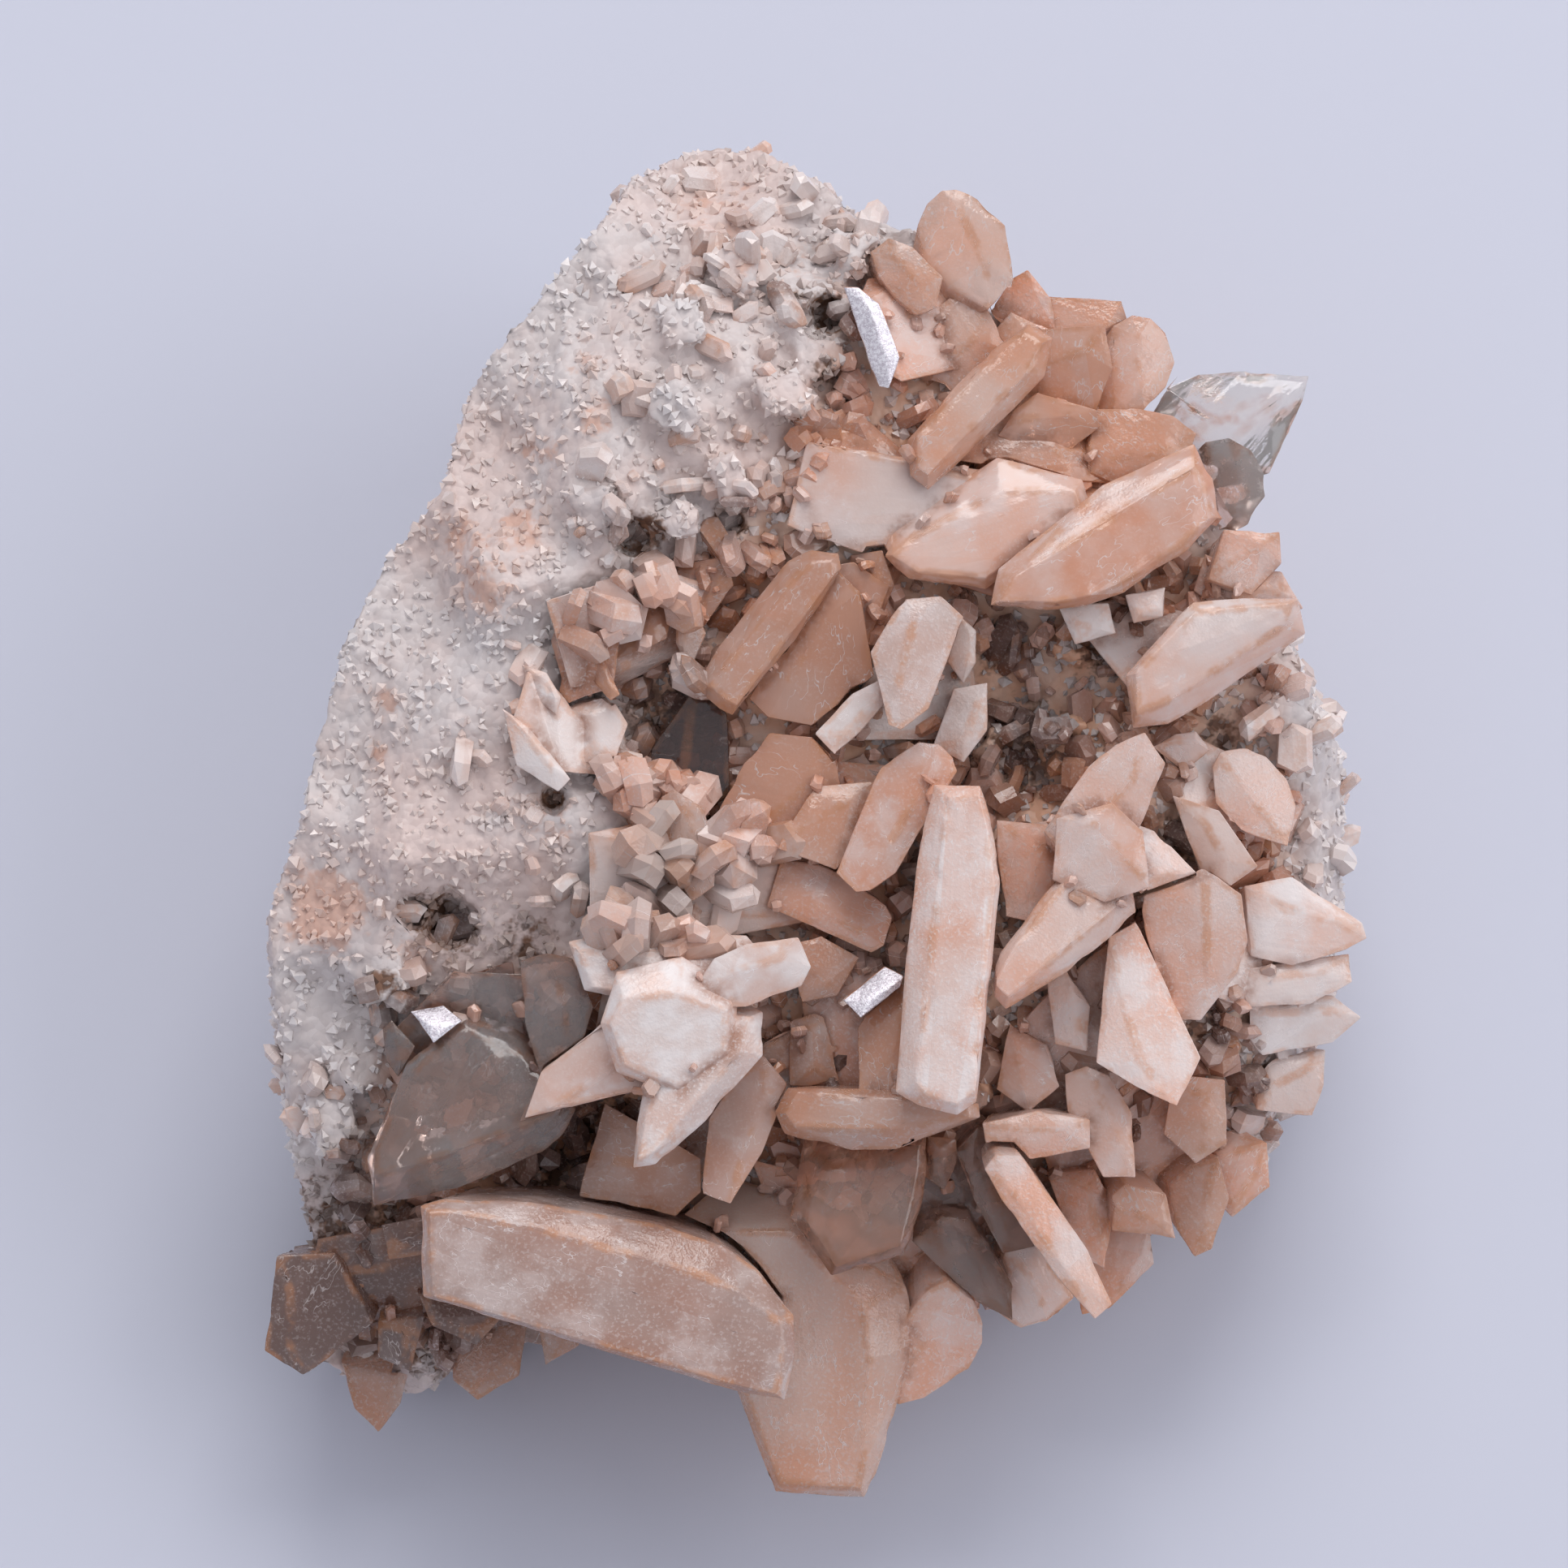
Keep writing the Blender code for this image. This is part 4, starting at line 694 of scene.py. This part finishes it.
def dress_spray(name, node, materials):
    """A spray with worn edges, marked for its stain, its milk and its growth lines."""
    shape = bmesh.new()
    shape.from_mesh(node.data)
    bmesh.ops.remove_doubles(shape, verts=shape.verts, dist=WELD_WITHIN * MM)
    bmesh.ops.dissolve_limit(shape, angle_limit=FLAT_ANGLE, verts=shape.verts, edges=shape.edges)
    bmesh.ops.recalc_face_normals(shape, faces=shape.faces)
    facet, blade, count = mark_blades(shape)
    axes = blade_axes(shape, blade, count)
    ridges = [edge for edge in shape.edges if bend_of(edge) > SHARP_ANGLE]
    ridge_spots = along_edges(ridges)
    seam_spots = along_edges([edge for edge in shape.edges if bend_of(edge) < -SHARP_ANGLE])
    blades_with_painted_glint = set(blades_at(PAINTED_GLINT_BLADES.get(name, []), shape, blade))
    own_looks = BLADE_LOOKS.get(name, {})
    singled = dict(zip(blades_at(own_looks, shape, blade), own_looks.values()))
    bmesh.ops.bevel(shape, geom=ridges, offset=WORN_EDGE * MM, segments=1, affect="EDGES",
                    clamp_overlap=False, material=-1)
    bmesh.ops.triangulate(shape, faces=shape.faces)
    split_long_edges(shape, CRYSTAL_DETAIL * MM)
    edge_reach = reach_to([vertex.co for vertex in shape.verts], ridge_spots)
    wear(shape, edge_reach, *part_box(name))
    lay_along(shape, blade, axes)
    looks, kinds = blade_looks(name, shape, facet, blade, count, blades_with_painted_glint, singled)
    seam_reach = reach_to([vertex.co for vertex in shape.verts], seam_spots)
    mesh = bpy.data.meshes.new(f"{name}_faceted")
    shape.to_mesh(mesh)
    shape.free()
    for material in materials:
        mesh.materials.append(material)
    mesh.polygons.foreach_set("material_index", kinds)
    store(mesh, "edge_reach", "FLOAT", "POINT", "value", edge_reach)
    store(mesh, "seam_reach", "FLOAT", "POINT", "value", seam_reach)
    store(mesh, "blade_look", "FLOAT_COLOR", "FACE", "color", looks)
    mesh.shade_smooth()
    mesh.set_sharp_from_angle(angle=CRISP_ANGLE)
    piece = add_object(f"{name}_faceted", mesh)
    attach(piece, "root")
    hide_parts(name)
    return piece


# Zones of the face: x, y, how far each spreads, how strong it is

RUSTY_SPOTS = [
    (-30, -6, 2.6, 1.0), (-20, 14.2, 2.0, 0.8), (-21.5, 17, 1.5, 0.7), (-18, 17.5, 1.8, 0.7),
    (-14, 28, 1.5, 0.5), (-13, 24.3, 1.3, 0.6), (-16.6, 22.5, 1.3, 0.6), (-12, 26, 1.3, 0.5),
    (-26.3, 7, 1.0, 0.6), (-26.6, 3.5, 0.7, 0.8), (-21.3, 4.6, 0.9, 0.6), (-3, 33, 3.0, 0.5),
    (-6, 38, 2.0, 0.5), (-24, -8, 2.0, 0.6), (-16, 0, 2.0, 0.6), (3, 33, 2.5, 0.6),
]
# Dark brown and black spots: earth in pits, and wide dark patches over the low corner on the lower left.
EARTH_SPOTS = [
    (-10.6, 17, 1.6, 0.9), (-5, 18, 1.2, 0.9), (1.2, 31, 1.6, 0.9), (-1, 31.6, 1.0, 0.9),
    (0.8, 27.3, 1.0, 0.8), (-15, -17, 3.5, 0.8), (-12, -20.5, 3.0, 1.0), (-17, -22.5, 2.5, 0.8),
    (-28, -27, 4.5, 0.9), (-22, -29, 4.0, 0.9), (-30, -31, 2.5, 0.6), (-24, -33, 3.0, 0.7),
    (-23.5, -6.5, 1.6, 0.9), (-22, -7.5, 1.6, 0.8), (-16, 0.8, 0.8, 0.9), (-9, 6, 2.6, 0.8),
    (1.5, -14, 2.0, 1.0), (0.5, -16.5, 1.6, 1.0), (12, 10, 1.5, 0.9), (18.5, 10.5, 2.5, 0.7),
    (13.5, 4, 3.0, 0.8), (22.3, -2, 1.8, 0.8), (25.5, 5, 1.3, 0.8), (24, -13, 1.6, 0.8),
    (27.7, -16.8, 1.4, 0.8), (29.2, -19.7, 1.0, 0.9), (21.2, -19.4, 1.4, 0.9), (-26.5, -11, 1.4, 0.9),
    (-18, -8, 2.0, 0.6), (-28, -21, 2.0, 0.6),
]
# Where the rind is coarse and blocky.
COARSE_ZONES = [
    (-5, 33, 6, 1.0), (-8, 25, 5, 1.0), (-4, 21, 4, 1.0), (-12, 18, 4, 0.8), (-15, 10, 3, 0.7),
    (-17, 4, 4, 0.9), (-15, -4, 4, 0.9), (-12, -6, 3, 0.9), (-26, -9, 4, 0.8), (-30, -17, 3, 0.9),
    (-31, -30, 4, 1.0), (-20, -8, 3, 0.6), (0, 36, 4, 0.9), (30, 6, 3, 1.0), (29, -14, 4, 1.0),
    (26, -20, 3, 1.0), (31, -2, 3, 1.0), (27, 11, 3, 0.8), (-27, -25, 4, 0.8),
]
# Broad plates that small crystals have grown over.
PLATE_ZONES = [(-10, -3.5, 3.6, 1.0), (-5, -3.5, 2.2, 0.8), (-12, 12.5, 3.2, 1.0), (-9, 9, 1.5, 0.6)]
# A zone fades out at this many times its spread.
ZONE_FADE = 1.6
# The bed that the blades grow from, and how softly its peach colour ends.
BED_OUTLINE = [
    (31, -1), (29, 12), (24, 20), (18, 26), (11, 31), (4, 33), (1, 30), (-3, 22), (-9, 15), (-13, 8),
    (-12, 2), (-13, -8), (-20, -9), (-27, -14), (-30, -24), (-31, -31), (-22, -36), (-8, -33),
    (6, -34), (13, -31), (19, -29), (25, -25), (29, -18.5), (31, -12),
]
BED_FADE = 3.0


def zone_strength(points, zones):
    strength = np.zeros(len(points))
    for x, y, spread, amount in zones:
        away = np.hypot(points[:, 0] - x, points[:, 1] - y) / spread
        strength = np.maximum(strength, amount * np.clip(ZONE_FADE - away, 0, 1))
    return strength


def depth_in_bed(points):
    """How far inside the bed's outline each face point lies, in millimetres: negative outside it."""
    spots = points[:, :2]
    nearest = np.full(len(spots), np.inf)
    within = np.zeros(len(spots), bool)
    for start, end in zip(BED_OUTLINE, BED_OUTLINE[1:] + BED_OUTLINE[:1]):
        start, end = np.array(start, float), np.array(end, float)
        run = end - start
        share = np.clip((spots - start) @ run / (run @ run), 0, 1)
        nearest = np.minimum(nearest, np.linalg.norm(spots - start - share[:, None] * run, axis=1))
        crosses = (start[1] > spots[:, 1]) != (end[1] > spots[:, 1])
        if run[1]:
            left = spots[:, 0] < run[0] * (spots[:, 1] - start[1]) / run[1] + start[0]
            within ^= crosses & left
    return np.where(within, nearest, -nearest)


def rock_marks(points):
    """Iron stain, earth and peach bed of each point of the rock, as a colour."""
    face = to_face(points)
    marks = np.ones((len(points), 4))
    marks[:, 0] = zone_strength(face, RUSTY_SPOTS)
    marks[:, 1] = zone_strength(face, EARTH_SPOTS)
    marks[:, 2] = np.clip(depth_in_bed(face) / BED_FADE, 0, 1)
    return marks


# The rock

ROCK_GRAIN = 0.42
# The lumps of the rock's skin and the finer pits on them: waves per millimetre and their height.
LUMP_WAVE, LUMP_HEIGHT = 0.75, 0.32
PIT_WAVE, PIT_HEIGHT = 1.9, 0.2
SKIN_SINK = 0.25
GRAIN_COUNT = 12000
GRAIN_SEED = 11
GRAIN_SIZES = (0.16, 0.5)
GRAIN_STRETCH = (0.6, 1.3)
GRAIN_CORNERS = np.array([
    (1, 0, 0), (-1, 0, 0), (0, 1, 0), (0, -1, 0), (0, 0, 1), (0, 0, -1),
], float)
GRAIN_FACES = np.array([
    (0, 2, 4), (2, 1, 4), (1, 3, 4), (3, 0, 4), (2, 0, 5), (1, 2, 5), (3, 1, 5), (0, 3, 5),
])
# Loose grains start this far above the foot, and are thickest from this much higher.
GRAINS_FROM = 1
GRAINS_GROW = 6
# How the grains thin out towards the underside, where few hold on.
UNDERSIDE_TURN = 0.9
UNDERSIDE_SHARE = 0.05


def apply_modifiers(obj):
    bpy.context.view_layer.update()
    graph = bpy.context.evaluated_depsgraph_get()
    mesh = bpy.data.meshes.new_from_object(obj.evaluated_get(graph))
    obj.modifiers.clear()
    obj.data = mesh


def granular_skin(points):
    """How far the rock's skin stands out at each point, in millimetres."""
    height = np.empty(len(points))
    for index, point in enumerate(points):
        spot = Vector(point) / MM
        near = noise.voronoi(spot * LUMP_WAVE)[0]
        lump = LUMP_HEIGHT * (near[1] - near[0])
        height[index] = lump - SKIN_SINK + PIT_HEIGHT * noise.noise(spot * PIT_WAVE)
    return height


def dress_rock(node, material):
    """The matrix with its granular skin, which leaves its foot flat."""
    rock = add_object("sugary_rock", node.data.copy())
    bpy.context.view_layer.update()
    remesh = rock.modifiers.new("even skin", "REMESH")
    remesh.mode = "VOXEL"
    remesh.voxel_size = ROCK_GRAIN * MM
    apply_modifiers(rock)
    mesh = rock.data
    points = read(mesh.vertices, "co", 3)
    normals = read(mesh.vertices, "normal", 3)
    lifted = np.clip(points[:, 2] / MM, 0, 1)
    points = points + normals * (granular_skin(points) * lifted)[:, None] * MM
    points = np.clip(points, *np.array(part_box("matrix")))
    mesh.vertices.foreach_set("co", points.ravel())
    mesh.update()
    mesh.materials.clear()
    mesh.materials.append(material)
    mesh.polygons.foreach_set("material_index", np.zeros(len(mesh.polygons), np.int32))
    store(mesh, "rock_marks", "FLOAT_COLOR", "POINT", "color", rock_marks(points))
    mesh.shade_smooth()
    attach(rock, "root")
    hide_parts("matrix")
    return rock


def scatter_spots(mesh, count, chance, keep):
    """Random places on a mesh, even by area but for what keep leaves out: points and normals."""
    centres = read(mesh.polygons, "center", 3)
    normals = read(mesh.polygons, "normal", 3)
    share = read(mesh.polygons, "area") * keep(mesh, centres, normals)
    count = min(count, np.count_nonzero(share))
    if not count:
        return np.empty((0, 3)), np.empty((0, 3))
    picked = chance.choice(len(share), size=count, replace=False, p=share / share.sum())
    return centres[picked], normals[picked]


def all_round(mesh, centres, normals):
    above_foot = np.clip((centres[:, 2] / MM - GRAINS_FROM) / GRAINS_GROW, 0, 1)
    return above_foot * np.clip(normals[:, 2] + UNDERSIDE_TURN, UNDERSIDE_SHARE, 1)


def random_turns(chance, count):
    """Random rotations, one 3 by 3 matrix each."""
    return np.linalg.qr(chance.normal(size=(count, 3, 3)))[0]


def mesh_of_copies(name, points, triangles):
    """One mesh of many copies of a shape, each with its own block of points, and its faces."""
    count, corners = points.shape[:2]
    faces = (triangles[None] + corners * np.arange(count)[:, None, None]).reshape(-1, 3)
    mesh = bpy.data.meshes.new(name)
    mesh.from_pydata(points.reshape(-1, 3).tolist(), [], faces.tolist())
    mesh.update()
    return mesh, faces


def sprinkle_grains(rock, material):
    """Glassy grains all over the rind, each a small double pyramid sunk half into the rock."""
    chance = np.random.default_rng(GRAIN_SEED)
    spots, _ = scatter_spots(rock.data, GRAIN_COUNT, chance, all_round)
    turns = random_turns(chance, GRAIN_COUNT)
    sizes = chance.uniform(*GRAIN_SIZES, (GRAIN_COUNT, 1, 1))
    sizes = sizes * chance.uniform(*GRAIN_STRETCH, (GRAIN_COUNT, 1, 3))
    points = (GRAIN_CORNERS[None] * sizes) @ turns * MM + spots[:, None, :]
    points = np.clip(points, *np.array(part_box("matrix")))
    mesh, _ = mesh_of_copies("matrix_grains", points, GRAIN_FACES)
    mesh.materials.append(material)
    store(mesh, "rock_marks", "FLOAT_COLOR", "POINT", "color", rock_marks(points.reshape(-1, 3)))
    grains = add_object("matrix_grains", mesh)
    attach(grains, "root")


# The small crystals

# One small tablet: the corners of its girdle, drawn in to TABLET_INSET on its two faces.
TABLET_GIRDLE = [(1.0, 0.1), (0.72, 0.55), (-0.6, 0.6), (-1.0, 0.0), (-0.7, -0.52), (0.6, -0.58)]
TABLET_INSET = 0.8
TABLET_THICKNESS = 0.34
# How far tablets lean from upright, how they vary in shape, and how far they stand out.
TABLET_LEAN = 0.55
TABLET_STRETCH = (0.75, 1.3)
TABLET_RAGGED = 0.12
TABLET_RISE = 0.35
# How far a tablet's tint, milk and frost stray, and the share of that by which its smoke does.
TABLET_STRAY = 0.25
SMOKE_STRAY_SHARE = 0.6
TABLET_EDGES = (0.1, 0.9)
# A tablet's reach from the seam at its foot: at its middle, how much it grows to its tip, and most.
MIDDLE_REACH = 1.1
TIP_REACH = 1.2
MOST_REACH = 3
# How much the earth of a spot darkens the small crystals that grow there.
EARTH_SMOKE = 0.9
# Each growth: how many there may be on each piece that bears them, their half lengths in
# millimetres, their look, and a slot name; the tablets take their finish from their milk instead.
GROWTHS = {
    "bed_druse": dict(
        seed=5, each=1700, sizes=(0.5, 1.7), look=(0.85, 0.3, 0.4, 0.2), slot="peach_celestite"),
    "rind_blocks": dict(
        seed=6, each=520, sizes=(0.5, 1.6), look=(0.15, 0.6, 0.4, 0.05), slot="white_celestite"),
    "seam_crystals": dict(
        seed=8, each=7, sizes=(0.35, 0.85), look=(0.8, 0.3, 0.35, 0.15), slot="peach_celestite"),
    "plate_crystals": dict(
        seed=9, each=13, sizes=(1.2, 2.5), look=(0.55, 0.4, 0.35, 0.08), slot="peach_celestite"),
}
# The druse thickens over this distance from the bed's edge, and thins where the rock turns away.
DRUSE_FADE = 2
DRUSE_TURN = 0.3
# Crystals in a seam: how near to it, how far inside the bed and how far towards the eye they are.
SEAM_REACH = 0.8
SEAM_INSIDE = 1
SEAM_TURN = 0.1
PLATE_TURN = 0.4


def in_bed(mesh, centres, normals):
    inside = np.clip(depth_in_bed(to_face(centres)) / DRUSE_FADE, 0, 1)
    return inside * np.clip(up_the_face(normals) + DRUSE_TURN, 0, 1)


def in_coarse_rind(mesh, centres, normals):
    return zone_strength(to_face(centres), COARSE_ZONES) ** 2


def by_seams(mesh, centres, normals):
    reach = read(mesh.attributes["seam_reach"].data, "value")
    corners = read(mesh.loops, "vertex_index", kind=int).reshape(-1, 3)
    near = reach[corners].max(axis=1) < SEAM_REACH
    inside = depth_in_bed(to_face(centres)) > SEAM_INSIDE
    return near * inside * (up_the_face(normals) > SEAM_TURN)


def on_plates(mesh, centres, normals):
    return zone_strength(to_face(centres), PLATE_ZONES) * (up_the_face(normals) > PLATE_TURN)


def tablet():
    """One small tablet crystal about the origin: its corners and its triangles."""
    girdle = np.array(TABLET_GIRDLE)
    rings = []
    for height, inset in ((1, TABLET_INSET), (0, 1.0), (-1, TABLET_INSET)):
        rings.append(np.column_stack([girdle * inset, np.full(len(girdle), height * TABLET_THICKNESS)]))
    sides = len(girdle)
    faces = []
    for index in range(1, sides - 1):
        faces.append((0, index, index + 1))
        faces.append((2 * sides, 2 * sides + index + 1, 2 * sides + index))
    for ring in (0, 1):
        for index in range(sides):
            first, second = ring * sides + index, ring * sides + (index + 1) % sides
            faces += [(first, first + sides, second), (second, first + sides, second + sides)]
    return np.vstack(rings), np.array(faces)


def unit(rows):
    return rows / np.linalg.norm(rows, axis=1)[:, None]


def stand_tablets(corners, spots, normals, chance, sizes):
    """The corners of one tablet on each spot, standing every way and sunk by its foot."""
    count = len(spots)
    axes = unit(normals + chance.normal(scale=TABLET_LEAN, size=normals.shape))
    side = unit(np.cross(axes, chance.normal(size=axes.shape)))
    turns = np.stack([axes, side, np.cross(axes, side)], axis=1)
    size = chance.uniform(*sizes, (count, 1, 1))
    stretch = chance.uniform(*TABLET_STRETCH, (count, 1, 3))
    ragged = 1 + chance.uniform(-TABLET_RAGGED, TABLET_RAGGED, (count, len(corners), 1))
    placed = (corners[None] * ragged * stretch * size) @ turns * MM
    return placed + (spots + axes * size[:, 0] * MM * TABLET_RISE)[:, None, :]


def plant_tablets(name, bearers, keep, box, materials, seed, each, sizes, look, slot):
    """Small tablets on these pieces, where keep lets them grow."""
    chance = np.random.default_rng(seed)
    found = [scatter_spots(bearer.data, each, chance, keep) for bearer in bearers]
    spots, normals = (np.vstack(rows) for rows in zip(*found))
    corners, triangles = tablet()
    points = stand_tablets(corners, spots, normals, chance, sizes)
    stray = chance.uniform(-TABLET_STRAY, TABLET_STRAY, (len(spots), 4)) * (1, 1, 1, SMOKE_STRAY_SHARE)
    looks = np.clip(np.array(look)[None] + stray, 0, 1)
    looks[:, 3] = np.clip(looks[:, 3] + EARTH_SMOKE * rock_marks(spots)[:, 1], 0, 1)
    edge_reach = chance.uniform(*TABLET_EDGES, len(spots))
    # A tablet that would reach past the specimen's own box is left out.
    fits = ((points > box[0]) & (points < box[1])).all(axis=(1, 2))
    points, looks, edge_reach = points[fits], looks[fits], edge_reach[fits]
    mesh, faces = mesh_of_copies(name, points, triangles)
    for material in materials:
        mesh.materials.append(material)
    kinds = kind_by_milk(looks[:, 1])
    seam_reach = np.clip(corners[:, 0] * TIP_REACH + MIDDLE_REACH, 0, MOST_REACH)
    mesh.polygons.foreach_set("material_index", np.repeat(kinds, len(triangles)))
    store(mesh, "edge_reach", "FLOAT", "POINT", "value", np.repeat(edge_reach, len(corners)))
    store(mesh, "seam_reach", "FLOAT", "POINT", "value", np.tile(seam_reach, len(points)))
    store(mesh, "blade_look", "FLOAT_COLOR", "FACE", "color", np.repeat(looks, len(triangles), axis=0))
    layout = mesh.uv_layers.new(name="along the blade")
    lengths = np.tile(corners[:, :2], (len(points), 1)) * MM
    layout.data.foreach_set("uv", lengths[faces.ravel()].ravel())
    piece = add_object(name, mesh)
    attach(piece, "root")


def plant_small_crystals(rock, sprays, box, materials):
    """The peach druse of the bed, the coarse white blocks of the rind, and those on the sprays."""
    places = {
        "bed_druse": ([rock], in_bed),
        "rind_blocks": ([rock], in_coarse_rind),
        "seam_crystals": (sprays, by_seams),
        "plate_crystals": (sprays, on_plates),
    }
    for name, (bearers, keep) in places.items():
        plant_tablets(name, bearers, keep, box, materials, **GROWTHS[name])


# The studio

FLOOR_REACH = 3.0
PAPER_TONES = ((0.600, 0.615, 0.705), (0.612, 0.628, 0.715))
PAPER_ROUGHNESS = 0.7
SKY_COLOUR = (0.88, 0.90, 1.0)
SKY_STRENGTH = 0.60
# Both lamps shine on the middle of the specimen, from these places in metres.
LAMP_AIM = (0, 0, 0.02)
LAMPS = {
    "window": dict(place=(0.1, 0.75, 0.9), size=0.7, watts=6.2, colour=(1.0, 0.98, 0.97)),
    "fill": dict(place=(0.85, 0.1, 0.7), size=0.8, watts=3.2, colour=(0.98, 0.98, 1.0)),
}
NEAREST_SEEN = 0.01


def studio_floor():
    shape = bmesh.new()
    bmesh.ops.create_grid(shape, x_segments=1, y_segments=1, size=FLOOR_REACH)
    mesh = bpy.data.meshes.new("floor")
    shape.to_mesh(mesh)
    shape.free()
    material, nodes, shader = new_material("pale_paper")
    tone = nodes.blend(nodes.noise(nodes.place(), scale=3, detail=1), *PAPER_TONES)
    nodes.feed(shader, {"Base Color": tone, "Roughness": PAPER_ROUGHNESS})
    mesh.materials.append(material)
    floor = add_object("floor", mesh)


def soft_light(name, place, size, watts, colour):
    lamp = bpy.data.lights.new(name, "AREA")
    lamp.shape = "SQUARE"
    lamp.size = size
    lamp.energy = watts
    lamp.color = colour
    placed = add_object(name, lamp)
    placed.location = place
    placed.rotation_euler = (Vector(LAMP_AIM) - Vector(place)).to_track_quat("-Z", "Y").to_euler()


def camera_on_face():
    lens = bpy.data.cameras.new("camera")
    lens.sensor_fit = "HORIZONTAL"
    lens.sensor_width = SENSOR_WIDTH
    lens.lens = SENSOR_WIDTH * CAMERA_AWAY / PICTURE_WIDTH
    lens.clip_start = NEAREST_SEEN
    camera = add_object("camera", lens)
    camera.location = to_world(*PICTURE_MIDDLE) + EYE * CAMERA_AWAY * MM
    camera.rotation_euler = (FACE_LEAN, 0, 0)
    bpy.context.scene.camera = camera


def studio():
    studio_floor()
    world = bpy.data.worlds.new("studio")
    world.use_nodes = True
    background = world.node_tree.nodes["Background"]
    background.inputs["Color"].default_value = rgba(SKY_COLOUR)
    background.inputs["Strength"].default_value = SKY_STRENGTH
    bpy.context.scene.world = world
    for name, lamp in LAMPS.items():
        soft_light(name, **lamp)
    camera_on_face()
    bpy.context.scene.view_settings.view_transform = "Standard"
    cycles = bpy.context.scene.cycles
    cycles.max_bounces = 4
    cycles.diffuse_bounces = 2
    cycles.glossy_bounces = 2
    cycles.transmission_bounces = 4
    cycles.adaptive_threshold = 0.12


def main():
    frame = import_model()
    solid_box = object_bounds()
    milky_veil_group()
    stain_and_seam_shade_group()
    growth_relief_group()
    finishes = [crystal_material(name, **finish) for name, finish in FINISHES.items()]
    finishes.append(painted_glint_material())
    sprays = [dress_spray(name, node, finishes)
              for name, node in frame["nodes"].items() if name != "matrix"]
    rock = dress_rock(frame["nodes"]["matrix"], stone_material())
    sprinkle_grains(rock, grain_material())
    plant_small_crystals(rock, sprays, solid_box, finishes[:CLEAR])
    studio()
    bpy.context.view_layer.update()


main()
